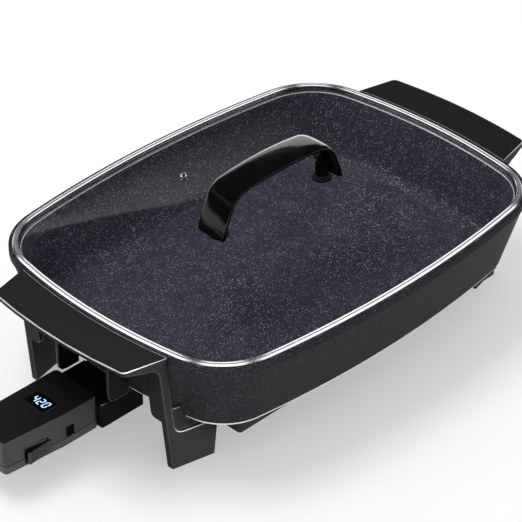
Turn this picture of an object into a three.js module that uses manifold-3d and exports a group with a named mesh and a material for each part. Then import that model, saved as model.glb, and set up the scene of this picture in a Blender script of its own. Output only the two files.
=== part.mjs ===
// Electric skillet: a cast pan carried by two moulded handle-and-leg frames, with a
// lift-off glass lid and a plug-in heat control at the -X end.
// Millimetres, +Z up, the feet stand on z = 0 and the pan's long side lies along X.
// The pieces are worked out about the middle of the pan; the whole model is then moved
// along X so that the origin is under the middle of its box.
import * as THREE from 'three';
import { mergeVertices } from 'three/addons/utils/BufferGeometryUtils.js';
import Module from 'manifold-3d';

const wasm = await Module();
wasm.setup();

// Fits shared by every piece
const seatGap = 0.3;
const boreClearance = 0.35;
const overrun = 5;
const tolerance = 0.003;
const curveSteps = 3;
const frameCurveSteps = 6;
const filletSteps = 5;
const sideSteps = 6;
const cornerSteps = 8;
const rodSides = 12;

// Pan: plan outline at the rim, with four gently bowed sides and round corners
const rimHalfLength = 203;
const rimHalfWidth = 152.5;
const longSideRadius = 977;
const shortSideRadius = 528;
const rimCornerRadius = 63;

// Pan: section through the wall
const rimHeight = 110;
const panBottomHeight = 42;
const bandHeight = 7;
const bandProud = 1.2;
const lipThickness = 2.8;
const rimRound = 0.8;
const ledgeDepth = 6.5;
const ledgeInset = 10.4;
const bottomInset = 17.9;
const bottomRound = 2.4;
const floorThickness = 4.5;
const floorInset = 19;
const floorFillet = 12;

// Pan: cast lugs for the handles, bosses for the shield and saddles for the heating element
const lugScrewReach = 8;
const lugWidth = 15;
const lugLength = 28;
const lugSpacing = 100;
const lugThickness = 5.9;
const lugDrop = 5.6;
const bossRadius = 5;
const bossSpacingX = 140;
const bossSpacingY = 80;
const saddleLength = 14;
const saddleWidth = 11;
const saddleOffsetX = 58;
const saddleOffsetY = 45;

// Heat shield: a pressed tray under the pan
const shieldMarginX = 50;
const shieldMarginY = 35.5;
const shieldDepth = 11.7;
const sheetThickness = 1.2;
const shieldChamfer = 0.8;
const shieldCornerRadius = 3;
const shieldNotchHalfWidth = 20;

// Heating element, its terminals and the sensor well
const terminalDrop = 5.5;
const terminalSpacing = 26;
const elementRadius = 3.5;
const elementSides = 10;
const elementMargin = 37;
const elementFrontMargin = 53;
const elementEndMargin = 10;
const elementBend = 24;
const pinRadius = 2.4;
const pinTipInset = 11.6;
const insulatorLength = 12;
const insulatorRadius = 5;
const wellHalfWidth = 6;
const wellLength = 58;
const wellBoreRadius = 3.5;
const wellEndWall = 6;
const wellShieldMargin = 3;

// Terminal guard: the box that the heat control plugs into
const guardReach = 13.6;
const guardLength = 44;
const guardHalfWidth = 27.5;
const guardHeight = 23;
const guardTopRise = 2;
const guardWall = 1.5;
const guardStepMargin = 0.6;
const guardCornerRadius = 2.4;
const guardTabLength = 15;
const guardTabWidth = 10;
const guardTabOffset = 22;
const guardScrewInset = 7;

// Handle-and-leg frames: the plate and its slanted end flanges
const plateReach = 37;
const plateBow = 5.8;
const plateProud = 0.3;
const plateThickness = 4.3;
const plateEdgeRound = 0.9;
const plateCornerRadius = 4;
const plateCornerHalfWidth = 75.6;
const plateInnerMargin = 13;
const bowSteps = 10;
const flangeFlareShare = 0.2296;
const flangeThickness = 6.5;
const gussetDrop = 3.6;
const gussetReach = 14;
const gussetFillet = 8.5;

// Handle-and-leg frames: legs, feet and webs
const legFootMargin = 8;
const legDraftShare = 0.09;
const legInnerMargin = 13.6;
const legInnerDraftShare = 0.075;
const legShankWidth = 6.6;
const legStepHeight = 57;
const legStepRise = 3.4;
const footLength = 37.5;
const footEndDraft = 3.4;
const footTopDrop = 7.5;
const footFillet = 9;
const webHalfOpening = 65.5;
const webThickness = 5;
const webLowerRise = 3.5;
const webCornerRadius = 5;

// Handle-and-leg frames: screw bosses, and the cheeks that shroud the terminals
const handleBossRadius = 5.5;
const cheekReach = 10;
const cheekThickness = 3;
const cheekCornerRadius = 8;

// Lid: steel rim with a double bead round a domed glass
const lidRimHeight = 8.2;
const lidRimWidth = 5;
const lidRimWall = 1.2;
const lidLowerFlange = 6.2;
const lidBevel = 1.2;
const lidChannelDepth = 0.8;
const lidBeadWidth = 1.7;
const lidUpperThickness = 1.6;
const glassThickness = 4;
const glassRise = 13;
const glassRingShares = [1, 0.93, 0.82, 0.66, 0.48, 0.3];
const glassCrownShare = 2.4;
const ventX = -22;
const ventY = 81.4;
const ventRadius = 3.2;
const ventHoleRadius = 1;
const ventShankRadius = 1.6;
const ventFlangeThickness = 0.7;

// Lid handle: a strap bent into an arch, with a screw boss inside each foot
const archHeight = 42.8;
const archThickness = 7;
const archWidth = 30;
const archSteps = 4;
const strapSides = 16;
const strapOuterPowerShare = 2.6;
const strapInnerPowerShare = 4;
const archOuterFoot = 71.4;
const archOuterKnee = 60.5;
const archOuterKneeDrop = 14.2;
const archOuterTurn = 55;
const archOuterShoulder = 45;
const archOuterShoulderDrop = 3.4;
const archInnerFoot = 66;
const archInnerKnee = 57;
const archInnerKneeDrop = 13.2;
const archInnerTurn = 51.3;
const archInnerShoulder = 38;
const archInnerShoulderDrop = 1.1;
const archBossX = 60;
const archBossRadius = 6;
const archBossHeight = 13;
const washerThickness = 1.5;
const washerRadius = 9;
const lidScrewRadius = 1.6;
const lidScrewHeadRadius = 7;
const lidScrewHeadThickness = 2;
const lidScrewLength = 15;

// Heat control: casing
const controlGap = 0.7;
const controlLength = 90.7;
const controlHalfWidth = 24.2;
const controlTipHalfWidth = 19.3;
const controlCornerRadius = 4;
const controlFrontStraight = 34;
const controlFrontBend = 50;
const controlFrontSlim = 1.9;
const controlBackStraight = 56;
const controlBackBend = 72;
const controlRise = 17.5;
const controlHeight = 32;
const controlLowerHeight = 7.5;
const controlWall = 2.2;
const controlEdgeRound = 1;

// Heat control: plug block, contact sleeves and sensing probe
const plugLength = 39.5;
const plugInsertion = 26.5;
const plugHalfWidth = 21;
const plugRise = 5;
const plugHeight = 16;
const plugEdgeRound = 0.8;
const contactRadius = 4;
const contactBoreRadius = 2.8;
const contactLength = 35;
const contactInset = 0.5;
const probeRadius = 2.9;
const probeLength = 108;
const probeTipLength = 4;
const probeTailInset = 2;

// Heat control: display, circuit board and cord gland
const displayFromInnerEnd = 29.2;
const displayLength = 15;
const displayWidth = 23;
const displayRound = 1;
const displayThickness = 1.2;
const displayLedge = 1.2;
const moduleMargin = 1.5;
const boardThickness = 1.6;
const boardDrop = 10.2;
const boardMargin = 4;
const glandRadius = 5;
const glandFlangeRadius = 6.8;
const glandBoreRadius = 3.6;
const glandProud = 2;
const glandInnerFlange = 1.5;

// Heat control: key, release lever, posts and case screws
const keyFromInnerEnd = 25.1;
const keyLength = 7.6;
const keyHeight = 9.7;
const keyRecess = 0.6;
const keyLip = 1.2;
const keyTravel = 1;
const keyStemWidth = 3;
const keySwitchDepth = 6;
const keySwitchHeight = 9;
const leverFromInnerEnd = 48.2;
const leverLength = 23;
const leverRise = 2.5;
const leverHeight = 11.5;
const leverProud = 0.4;
const leverLean = 0.9;
const leverThickness = 3.2;
const leverEndRound = 2.6;
const leverRibPitch = 2.1;
const leverRibDepth = 0.6;
const leverRibWidth = 1;
const leverRibCount = 9;
const leverBarrelRadius = 2.5;
const leverPivotInset = 3;
const leverPinRadius = 1.2;
const leverPinLength = 1.4;
const leverLugThickness = 3;
const postRadius = 2.5;
const postOffset = 10;
const postInset = 22;
const caseBossRadius = 3.4;
const caseBossInnerInset = 18.8;
const caseBossOuterInset = 10.5;
const caseSeatWall = 1.2;

// Screws
const smallScrewRadius = 1.5;
const smallHeadRadius = 3.2;
const smallHeadThickness = 1.8;
const shieldScrewLength = 8;
const guardScrewLength = 3.6;
const caseScrewLength = 14;
const handleScrewRadius = 2;
const handleHeadRadius = 4;
const handleHeadThickness = 2.4;
const handleScrewLength = 12;
const screwTipRoom = 0.8;

// Finishes
const charcoalPaint = { color: 0x3c3c3f, roughness: 0.45, metalness: 0.5 };
const blackPhenolic = { color: 0x262627, roughness: 0.55, metalness: 0 };
const glossPhenolic = { color: 0x0c0c0d, roughness: 0.12, metalness: 0 };
const satinBlack = { color: 0x171718, roughness: 0.4, metalness: 0 };
const darkGrey = { color: 0x3a3a3b, roughness: 0.5, metalness: 0 };
const polishedSteel = { color: 0xd2d4d6, roughness: 0.15, metalness: 1 };
const plainSteel = { color: 0xa9abad, roughness: 0.35, metalness: 1 };
const darkSheet = { color: 0x2a2a2c, roughness: 0.5, metalness: 0.6 };
const elementSheath = { color: 0x6b6460, roughness: 0.5, metalness: 0.8 };
const ceramic = { color: 0xe9e4d8, roughness: 0.6, metalness: 0 };
const castAluminium = { color: 0x9a9b9c, roughness: 0.5, metalness: 0.9 };
const clearGlass = { color: 0xdfe8ea, roughness: 0.05, metalness: 0 };
const blackSilicone = { color: 0x1d1d1e, roughness: 0.8, metalness: 0 };
const boardGreen = { color: 0x1f5a37, roughness: 0.6, metalness: 0 };
const brass = { color: 0xb8964a, roughness: 0.3, metalness: 1 };
const displayBlack = { color: 0x050608, roughness: 0.1, metalness: 0 };

// Heights and places that follow from the sizes above
const bandBottom = rimHeight - bandHeight;
const ledgeHeight = rimHeight - ledgeDepth;
const floorHeight = panBottomHeight + floorThickness;
const terminalHeight = panBottomHeight - terminalDrop;
const terminalSide = terminalSpacing / 2;
const seatHeight = panBottomHeight - seatGap;
const shieldHalfLength = rimHalfLength - shieldMarginX;
const shieldHalfWidth = rimHalfWidth - shieldMarginY;
const shieldBottom = seatHeight - shieldDepth;
const elementNearX = -(shieldHalfLength - elementFrontMargin);
const elementFarX = shieldHalfLength - elementMargin;
const elementHalfWidth = shieldHalfWidth - elementMargin;
const elementEndX = -(shieldHalfLength - elementEndMargin);
const guardOuterX = -(rimHalfLength + guardReach);
const guardInnerX = guardOuterX + guardLength;
const guardTop = panBottomHeight + guardTopRise;
const guardBottom = guardTop - guardHeight;
const guardStepX = -(rimHalfLength - bottomInset + guardStepMargin);
const plateTop = rimHeight + plateProud;
const plateUnderside = plateTop - plateThickness;
const plateCore = plateTop - plateEdgeRound;
const plateOuterX = -(rimHalfLength + plateReach);
const plateCornerX = plateOuterX + plateBow;
const plateInnerX = -(rimHalfLength - plateInnerMargin);
const footOuterX = -(rimHalfLength - legFootMargin);
const footInnerX = footOuterX + footLength;
const footTop = panBottomHeight - footTopDrop;
const lugScrewX = rimHalfLength + lugScrewReach;
const lugTop = plateUnderside - lugDrop;
const lugBottom = lugTop - lugThickness;
const lidRimInset = lipThickness + seatGap;
const lidRimBottom = ledgeHeight + seatGap;
const lidRimTop = lidRimBottom + lidRimHeight;
const glassInset = lidRimInset + lidRimWall + seatGap;
const glassEdgeBottom = lidRimBottom + lidRimWall + seatGap;
const glassEdgeTop = glassEdgeBottom + glassThickness;
const controlInnerX = guardOuterX - controlGap;
const controlOuterX = controlInnerX - controlLength;
const controlTop = terminalHeight + controlRise;
const controlBottom = controlTop - controlHeight;
const partingHeight = controlBottom + controlLowerHeight;
const handleScrewSeat = lugBottom - seatGap;
const guardScrewX = guardInnerX + guardScrewInset;
const guardTabBottom = seatHeight - guardWall;
const guardScrewSeat = guardTabBottom - seatGap;
const plugInnerX = controlInnerX + plugInsertion;
const plugTop = terminalHeight + plugRise;
const plugBottom = plugTop - plugHeight;
const boardBottom = controlTop - boardDrop - boardThickness;
const boardTop = boardBottom + boardThickness;
const glandOuterX = controlOuterX - glandProud;

// Both ends of the pan, as a sign along X, and both sides, as a sign along Y
const ends = [-1, 1];
const sides = [-1, 1];

// A range between two places, smaller first
const span = (a, b) => [Math.min(a, b), Math.max(a, b)];

// Turns a closed three.js geometry into a solid that can be joined and cut
function toSolid(geometry) {
  const bare = geometry.clone();
  bare.deleteAttribute('normal');
  bare.deleteAttribute('uv');
  const merged = mergeVertices(bare);
  return new wasm.Manifold(new wasm.Mesh({
    numProp: 3,
    vertProperties: merged.attributes.position.array,
    triVerts: merged.index.array,
  }));
}

// Turns a solid back into a three.js geometry
function toGeometry(solid) {
  const mesh = solid.getMesh();
  const geometry = new THREE.BufferGeometry();
  geometry.setAttribute('position', new THREE.BufferAttribute(mesh.vertProperties, 3));
  geometry.setIndex(new THREE.BufferAttribute(mesh.triVerts, 1));
  geometry.computeVertexNormals();
  return geometry;
}

// A box between ranges along X, Y and Z
function block([x0, x1], [y0, y1], [z0, z1]) {
  const geometry = new THREE.BoxGeometry(x1 - x0, y1 - y0, z1 - z0);
  geometry.translate((x0 + x1) / 2, (y0 + y1) / 2, (z0 + z1) / 2);
  return toSolid(geometry);
}

// Round bars along Z and along X
function barZ(radius, x, y, [z0, z1]) {
  const geometry = new THREE.CylinderGeometry(radius, radius, z1 - z0, rodSides);
  geometry.rotateX(Math.PI / 2);
  geometry.translate(x, y, (z0 + z1) / 2);
  return toSolid(geometry);
}

function barX(radius, y, z, [x0, x1]) {
  const geometry = new THREE.CylinderGeometry(radius, radius, x1 - x0, rodSides);
  geometry.rotateZ(Math.PI / 2);
  geometry.translate((x0 + x1) / 2, y, z);
  return toSolid(geometry);
}

// A shape drawn in plan, raised between two heights, its edges rounded by an optional amount
function raise(shape, [z0, z1], edge = 0, steps = curveSteps) {
  const geometry = new THREE.ExtrudeGeometry(shape, {
    depth: z1 - z0 - 2 * edge,
    bevelEnabled: edge > 0,
    bevelThickness: edge,
    bevelSize: edge,
    bevelOffset: -edge,
    bevelSegments: 2,
    curveSegments: steps,
  });
  return geometry.translate(0, 0, z0 + edge);
}

// A shape drawn in the XZ plane, thick along Y
function raiseAlongY(shape, [y0, y1], edge = 0, steps = curveSteps) {
  return raise(shape, [-y1, -y0], edge, steps).rotateX(Math.PI / 2);
}

// A shape drawn in the YZ plane, thick along X
function raiseAlongX(shape, [x0, x1], edge = 0) {
  const alongX = new THREE.Vector3(1, 0, 0);
  const alongY = new THREE.Vector3(0, 1, 0);
  const alongZ = new THREE.Vector3(0, 0, 1);
  const turn = new THREE.Matrix4().makeBasis(alongY, alongZ, alongX);
  return raise(shape, [x0, x1], edge).applyMatrix4(turn);
}

// A polygon from pairs of coordinates
function polygon(points) {
  return new THREE.Shape(points.map(([x, y]) => new THREE.Vector2(x, y)));
}

// A rectangle with round corners, given as ranges along both directions
function roundedRectangle([x0, x1], [y0, y1], radius) {
  const quarter = Math.PI / 2;
  const shape = new THREE.Shape();
  shape.absarc(x1 - radius, y0 + radius, radius, -quarter, 0);
  shape.absarc(x1 - radius, y1 - radius, radius, 0, quarter);
  shape.absarc(x0 + radius, y1 - radius, radius, quarter, 2 * quarter);
  shape.absarc(x0 + radius, y0 + radius, radius, 2 * quarter, 3 * quarter);
  return shape;
}

// Joins rings of points, each with the same count, into a closed skin. A run of rings is
// closed by a fan at each end, and a loop of rings by joining the last to the first.
function loft(rings, isLoop = false) {
  const count = rings[0].length;
  const points = rings.flat();
  const index = [];
  const next = (j) => (j + 1) % count;
  const bandCount = isLoop ? rings.length : rings.length - 1;
  for (let i = 0; i < bandCount; i += 1) {
    const a = i * count;
    const b = ((i + 1) % rings.length) * count;
    for (let j = 0; j < count; j += 1) {
      index.push(a + j, a + next(j), b + next(j), a + j, b + next(j), b + j);
    }
  }
  if (!isLoop) {
    const lastStart = (rings.length - 1) * count;
    for (const [ring, start, isLast] of [[rings[0], 0, false], [rings.at(-1), lastStart, true]]) {
      const middle = ring.reduce((sum, point) => sum.add(point), new THREE.Vector3());
      points.push(middle.divideScalar(count));
      for (let j = 0; j < count; j += 1) {
        const pair = isLast ? [start + j, start + next(j)] : [start + next(j), start + j];
        index.push(points.length - 1, ...pair);
      }
    }
  }
  const geometry = new THREE.BufferGeometry().setFromPoints(points);
  return geometry.setIndex(index);
}

// The ring of a shape's outline at a height
function shapeRing(shape, height) {
  const points = shape.getPoints(curveSteps);
  if (points[0].distanceTo(points.at(-1)) < tolerance) {
    points.pop();
  }
  return points.map((point) => new THREE.Vector3(point.x, point.y, height));
}

// Centre of the pan's corner arc, which touches the long-side and the short-side arc
const longCentreY = rimHalfWidth - longSideRadius;
const shortCentreX = rimHalfLength - shortSideRadius;
function findCornerCentre() {
  const fromLong = longSideRadius - rimCornerRadius;
  const fromShort = shortSideRadius - rimCornerRadius;
  const line = new THREE.Vector2(shortCentreX, -longCentreY);
  const apart = line.length();
  line.normalize();
  const along = (apart ** 2 + fromLong ** 2 - fromShort ** 2) / (2 * apart);
  const across = Math.sqrt(fromLong ** 2 - along ** 2);
  return [line.x * along + line.y * across, longCentreY + line.y * along - line.x * across];
}
const [cornerCentreX, cornerCentreY] = findCornerCentre();
const shortEndAngle = Math.atan2(cornerCentreY, cornerCentreX - shortCentreX);
const longStartAngle = Math.atan2(cornerCentreY - longCentreY, cornerCentreX);

// The pan's plan outline at a height, moved inwards by an amount and drawn in by a share
function planRing(inset, height, share = 1) {
  const halfTurn = Math.PI;
  const arcs = [
    [shortCentreX, 0, shortSideRadius, -shortEndAngle, shortEndAngle, sideSteps],
    [cornerCentreX, cornerCentreY, rimCornerRadius, shortEndAngle, longStartAngle, cornerSteps],
    [0, longCentreY, longSideRadius, longStartAngle, halfTurn - longStartAngle, sideSteps],
    [-cornerCentreX, cornerCentreY, rimCornerRadius, halfTurn - longStartAngle,
      halfTurn - shortEndAngle, cornerSteps],
  ];
  const half = [];
  for (const [x, y, radius, from, to, steps] of arcs) {
    for (let i = 0; i < steps; i += 1) {
      const angle = from + ((to - from) * i) / steps;
      const reach = radius - inset;
      const along = share * (x + reach * Math.cos(angle));
      half.push(new THREE.Vector3(along, share * (y + reach * Math.sin(angle)), height));
    }
  }
  const otherHalf = half.map((point) => new THREE.Vector3(-point.x, -point.y, height));
  return [...half, ...otherHalf];
}

// A screw driven upwards, its head under the seat
function screwUp(radius, headRadius, headThickness, length, x, y, seat) {
  const head = barZ(headRadius, x, y, [seat - headThickness, seat]);
  return head.add(barZ(radius, x, y, [seat - headThickness, seat + length]));
}

const skillet = new THREE.Group();
skillet.name = 'electric_skillet';
const panGroup = new THREE.Group();
const lidGroup = new THREE.Group();
const controlGroup = new THREE.Group();
skillet.add(panGroup, lidGroup, controlGroup);

// Adds one named piece with its own material to a group
function addPiece(group, name, shape, finish) {
  const geometry = shape.isBufferGeometry ? shape : toGeometry(shape);
  const mesh = new THREE.Mesh(geometry, new THREE.MeshStandardMaterial(finish));
  mesh.name = name;
  group.add(mesh);
}

// The space that the pan's outside fills, grown by the gap, to cut its neighbours with
function panEnvelope() {
  return toSolid(loft([
    planRing(bottomInset - seatGap, panBottomHeight - seatGap),
    planRing(bandProud - seatGap, bandBottom - bandProud - seatGap),
    planRing(-seatGap, bandBottom - seatGap),
    planRing(-seatGap, rimHeight + overrun),
  ]));
}

// Heating element: a round tube in one flat loop, open at the terminal side
function elementTube(radius) {
  const corners = [
    [elementEndX, -terminalSide],
    [elementNearX, -terminalSide],
    [elementNearX, -elementHalfWidth],
    [elementFarX, -elementHalfWidth],
    [elementFarX, elementHalfWidth],
    [elementNearX, elementHalfWidth],
    [elementNearX, terminalSide],
    [elementEndX, terminalSide],
  ].map(([x, y]) => new THREE.Vector3(x, y, terminalHeight));
  const rings = [];
  const addRing = (place, heading) => {
    const across = new THREE.Vector3(-heading.y, heading.x, 0);
    const ring = [];
    for (let j = 0; j < elementSides; j += 1) {
      const angle = (2 * Math.PI * j) / elementSides;
      const point = place.clone().addScaledVector(across, radius * Math.cos(angle));
      point.z += radius * Math.sin(angle);
      ring.push(point);
    }
    rings.push(ring);
  };
  const headingFrom = (i) => corners[i + 1].clone().sub(corners[i]).normalize();
  addRing(corners[0], headingFrom(0));
  for (let i = 1; i < corners.length - 1; i += 1) {
    const before = headingFrom(i - 1);
    const after = headingFrom(i);
    const centre = corners[i].clone();
    centre.addScaledVector(before, -elementBend).addScaledVector(after, elementBend);
    for (let step = 0; step <= filletSteps; step += 1) {
      const angle = (Math.PI / 2) * (step / filletSteps);
      const heading = before.clone().multiplyScalar(Math.cos(angle));
      heading.addScaledVector(after, Math.sin(angle));
      const place = centre.clone().addScaledVector(after, -elementBend * Math.cos(angle));
      addRing(place.addScaledVector(before, elementBend * Math.sin(angle)), heading);
    }
  }
  addRing(corners.at(-1), headingFrom(corners.length - 2));
  return toSolid(loft(rings));
}

// Pan

// One cast tab under a handle plate, with its screw hole
function panLug(end, side) {
  const outer = lugScrewX + lugWidth / 2;
  const middle = (side * lugSpacing) / 2;
  const alongX = span(end * outer, end * (outer - lugLength));
  const alongY = [middle - lugWidth / 2, middle + lugWidth / 2];
  const lug = toSolid(raise(roundedRectangle(alongX, alongY, lugWidth / 2), [lugBottom, lugTop]));
  const hole = [lugBottom - overrun, lugTop + overrun];
  return lug.subtract(barZ(handleScrewRadius + boreClearance, end * lugScrewX, middle, hole));
}

// Short cast blocks that hold the element at intervals
function elementSaddles() {
  const loopMiddle = (elementNearX + elementFarX) / 2;
  const places = [];
  for (const side of sides) {
    for (const x of [loopMiddle - saddleOffsetX, loopMiddle + saddleOffsetX]) {
      places.push([x, side * elementHalfWidth, saddleLength, saddleWidth]);
    }
    for (const x of [elementNearX, elementFarX]) {
      places.push([x, side * saddleOffsetY, saddleWidth, saddleLength]);
    }
  }
  const clearance = elementTube(elementRadius + seatGap);
  return places.map(([x, y, sizeX, sizeY]) => {
    const alongX = [x - sizeX / 2, x + sizeX / 2];
    const alongY = [y - sizeY / 2, y + sizeY / 2];
    return block(alongX, alongY, [terminalHeight, panBottomHeight + floorThickness / 2]).subtract(clearance);
  });
}

function panBody() {
  const rings = [
    planRing(bottomInset + bottomRound, panBottomHeight),
    planRing(bottomInset, panBottomHeight + bottomRound),
    planRing(bandProud, bandBottom - bandProud),
    planRing(0, bandBottom),
    planRing(0, rimHeight - rimRound),
    planRing(rimRound, rimHeight),
    planRing(lipThickness - rimRound, rimHeight),
    planRing(lipThickness, rimHeight - rimRound),
    planRing(lipThickness, ledgeHeight),
    planRing(ledgeInset, ledgeHeight),
  ];
  for (let i = 0; i <= filletSteps; i += 1) {
    const angle = (Math.PI / 2) * (i / filletSteps);
    const inset = floorInset + floorFillet * (1 - Math.cos(angle));
    rings.push(planRing(inset, floorHeight + floorFillet * (1 - Math.sin(angle))));
  }
  let pan = toSolid(loft(rings));
  for (const saddle of elementSaddles()) {
    pan = pan.add(saddle);
  }
  const bossFoot = shieldBottom + sheetThickness + seatGap;
  for (const end of ends) {
    for (const side of sides) {
      pan = pan.add(panLug(end, side));
      const x = (end * bossSpacingX) / 2;
      const y = (side * bossSpacingY) / 2;
      const boss = barZ(bossRadius, x, y, [bossFoot, panBottomHeight + floorThickness / 2]);
      const holeTop = shieldBottom - seatGap + shieldScrewLength + screwTipRoom;
      const hole = barZ(smallScrewRadius + boreClearance, x, y, [bossFoot - overrun, holeTop]);
      pan = pan.add(boss).subtract(hole);
    }
  }
  for (const side of sides) {
    const holeTop = guardScrewSeat + guardScrewLength + screwTipRoom;
    const range = [panBottomHeight - overrun, holeTop];
    pan = pan.subtract(barZ(smallScrewRadius + boreClearance, guardScrewX, side * guardTabOffset, range));
  }
  return pan;
}

// Heat shield tray
function baseShield() {
  const ring = (inset, height) => {
    const [halfLength, halfWidth] = [shieldHalfLength - inset, shieldHalfWidth - inset];
    const radius = shieldCornerRadius - inset;
    return shapeRing(roundedRectangle([-halfLength, halfLength], [-halfWidth, halfWidth], radius), height);
  };
  let tray = toSolid(loft([
    ring(shieldChamfer, shieldBottom),
    ring(0, shieldBottom + shieldChamfer),
    ring(0, seatHeight),
    ring(sheetThickness, seatHeight),
    ring(sheetThickness, shieldBottom + shieldChamfer + sheetThickness / 2),
    ring(shieldChamfer + sheetThickness / 2, shieldBottom + sheetThickness),
  ]));
  const notchX = [-shieldHalfLength - overrun, -shieldHalfLength + sheetThickness + shieldChamfer];
  const notchZ = [shieldBottom + sheetThickness, seatHeight + overrun];
  tray = tray.subtract(block(notchX, [-shieldNotchHalfWidth, shieldNotchHalfWidth], notchZ));
  const holeRange = [shieldBottom - overrun, shieldBottom + overrun];
  for (const end of ends) {
    for (const side of sides) {
      const [x, y] = [(end * bossSpacingX) / 2, (side * bossSpacingY) / 2];
      tray = tray.subtract(barZ(smallScrewRadius + boreClearance, x, y, holeRange));
    }
  }
  return tray;
}

// Terminal pins and the ceramic sleeves that hold them
const insulatorOuterX = elementEndX - seatGap - insulatorLength;
function terminalPin(side) {
  const length = [guardOuterX + pinTipInset, elementEndX - seatGap];
  return barX(pinRadius, side * terminalSide, terminalHeight, length);
}

function terminalInsulator(side) {
  const length = [insulatorOuterX, elementEndX - seatGap];
  const sleeve = barX(insulatorRadius, side * terminalSide, terminalHeight, length);
  const bore = [insulatorOuterX - overrun, elementEndX + overrun];
  return sleeve.subtract(barX(pinRadius + boreClearance, side * terminalSide, terminalHeight, bore));
}

// Sensor well: a bored bar under the pan that the probe slides into
const wellOuterX = -(shieldHalfLength - wellShieldMargin);
function sensorWell() {
  const bottom = shieldBottom + sheetThickness + seatGap;
  const shape = new THREE.Shape();
  shape.moveTo(-wellHalfWidth, seatHeight);
  shape.lineTo(-wellHalfWidth, terminalHeight);
  shape.quadraticCurveTo(-wellHalfWidth, bottom, 0, bottom);
  shape.quadraticCurveTo(wellHalfWidth, bottom, wellHalfWidth, terminalHeight);
  shape.lineTo(wellHalfWidth, seatHeight);
  const wellInnerX = wellOuterX + wellLength;
  const body = toSolid(raiseAlongX(shape, [wellOuterX, wellInnerX]));
  const boreRange = [wellOuterX - overrun, wellInnerX - wellEndWall];
  return body.subtract(barX(wellBoreRadius, 0, terminalHeight, boreRange));
}

// Terminal guard: a box round the terminals, open towards the shield and stepped down where it
// runs under the pan, with a mouth in its outer wall for the plug block
function terminalGuard() {
  const box = (inset, [z0, z1], edge) => {
    const alongX = [guardOuterX + inset, guardInnerX + overrun + guardCornerRadius];
    const alongY = [-guardHalfWidth + inset, guardHalfWidth - inset];
    return toSolid(raise(roundedRectangle(alongX, alongY, guardCornerRadius - inset), [z0, z1], edge));
  };
  const everyY = [-guardHalfWidth - overrun, guardHalfWidth + overrun];
  const everyZ = [guardBottom - overrun, guardTop + overrun];
  let guard = box(0, [guardBottom, guardTop], plateEdgeRound);
  const lowCavity = box(guardWall, [guardBottom + guardWall, guardTabBottom], 0);
  const highCavity = box(guardWall, [guardBottom + guardWall, guardTop - guardWall], 0);
  const beyond = guardInnerX + overrun + 2 * guardCornerRadius;
  guard = guard.subtract(lowCavity);
  guard = guard.subtract(highCavity.subtract(block([guardStepX - guardWall, beyond], everyY, everyZ)));
  guard = guard.subtract(block([guardInnerX, beyond], everyY, everyZ));
  guard = guard.subtract(block([guardStepX, beyond], everyY, [seatHeight, guardTop + overrun]));
  const mouthY = [-plugHalfWidth - seatGap, plugHalfWidth + seatGap];
  const mouthX = [guardOuterX - overrun, guardOuterX + overrun];
  guard = guard.subtract(block(mouthX, mouthY, [plugBottom - seatGap, plugTop + seatGap]));
  for (const side of sides) {
    const y = side * guardTabOffset;
    const tabX = [guardInnerX - guardTabLength / 2, guardInnerX + guardTabLength];
    const tabY = [y - guardTabWidth / 2, y + guardTabWidth / 2];
    const tab = raise(roundedRectangle(tabX, tabY, guardTabWidth / 3), [guardTabBottom, seatHeight]);
    guard = guard.add(toSolid(tab));
    const hole = [guardTabBottom - overrun, seatHeight + overrun];
    guard = guard.subtract(barZ(smallScrewRadius + boreClearance, guardScrewX, y, hole));
  }
  return guard;
}

// Handle-and-leg frame, worked out for the -X end

// Half width of the frame at a place along X: its end faces flare towards the pan
const frameHalfWidth = (x) => plateCornerHalfWidth + flangeFlareShare * (x - plateCornerX);

// The plate: a bowed outer edge, slanted ends and an inner edge hidden by the pan
function handlePlate() {
  const cornerStart = plateCornerHalfWidth - plateCornerRadius;
  const bowHere = plateBow * (1 - (cornerStart / plateCornerHalfWidth) ** 2);
  const bowStartX = plateCornerX - bowHere;
  const slantX = plateCornerX + plateCornerRadius;
  const shape = new THREE.Shape();
  shape.moveTo(plateInnerX, frameHalfWidth(plateInnerX));
  shape.lineTo(slantX, frameHalfWidth(slantX));
  shape.quadraticCurveTo(plateCornerX, plateCornerHalfWidth, bowStartX, cornerStart);
  for (let i = 1; i < bowSteps; i += 1) {
    const y = cornerStart * (1 - (2 * i) / bowSteps);
    shape.lineTo(plateCornerX - plateBow * (1 - (y / plateCornerHalfWidth) ** 2), y);
  }
  shape.lineTo(bowStartX, -cornerStart);
  shape.quadraticCurveTo(plateCornerX, -plateCornerHalfWidth, slantX, -frameHalfWidth(slantX));
  shape.lineTo(plateInnerX, -frameHalfWidth(plateInnerX));
  return toSolid(raise(shape, [plateUnderside, plateTop], plateEdgeRound));
}

// Edges of a leg at a height, along X
const outerAt = (z) => footOuterX - legDraftShare * z;
const innerAt = (z) => -(rimHalfLength - legInnerMargin) - legInnerDraftShare * z;
const shankAt = (z) => outerAt(z) + legShankWidth;

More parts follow.
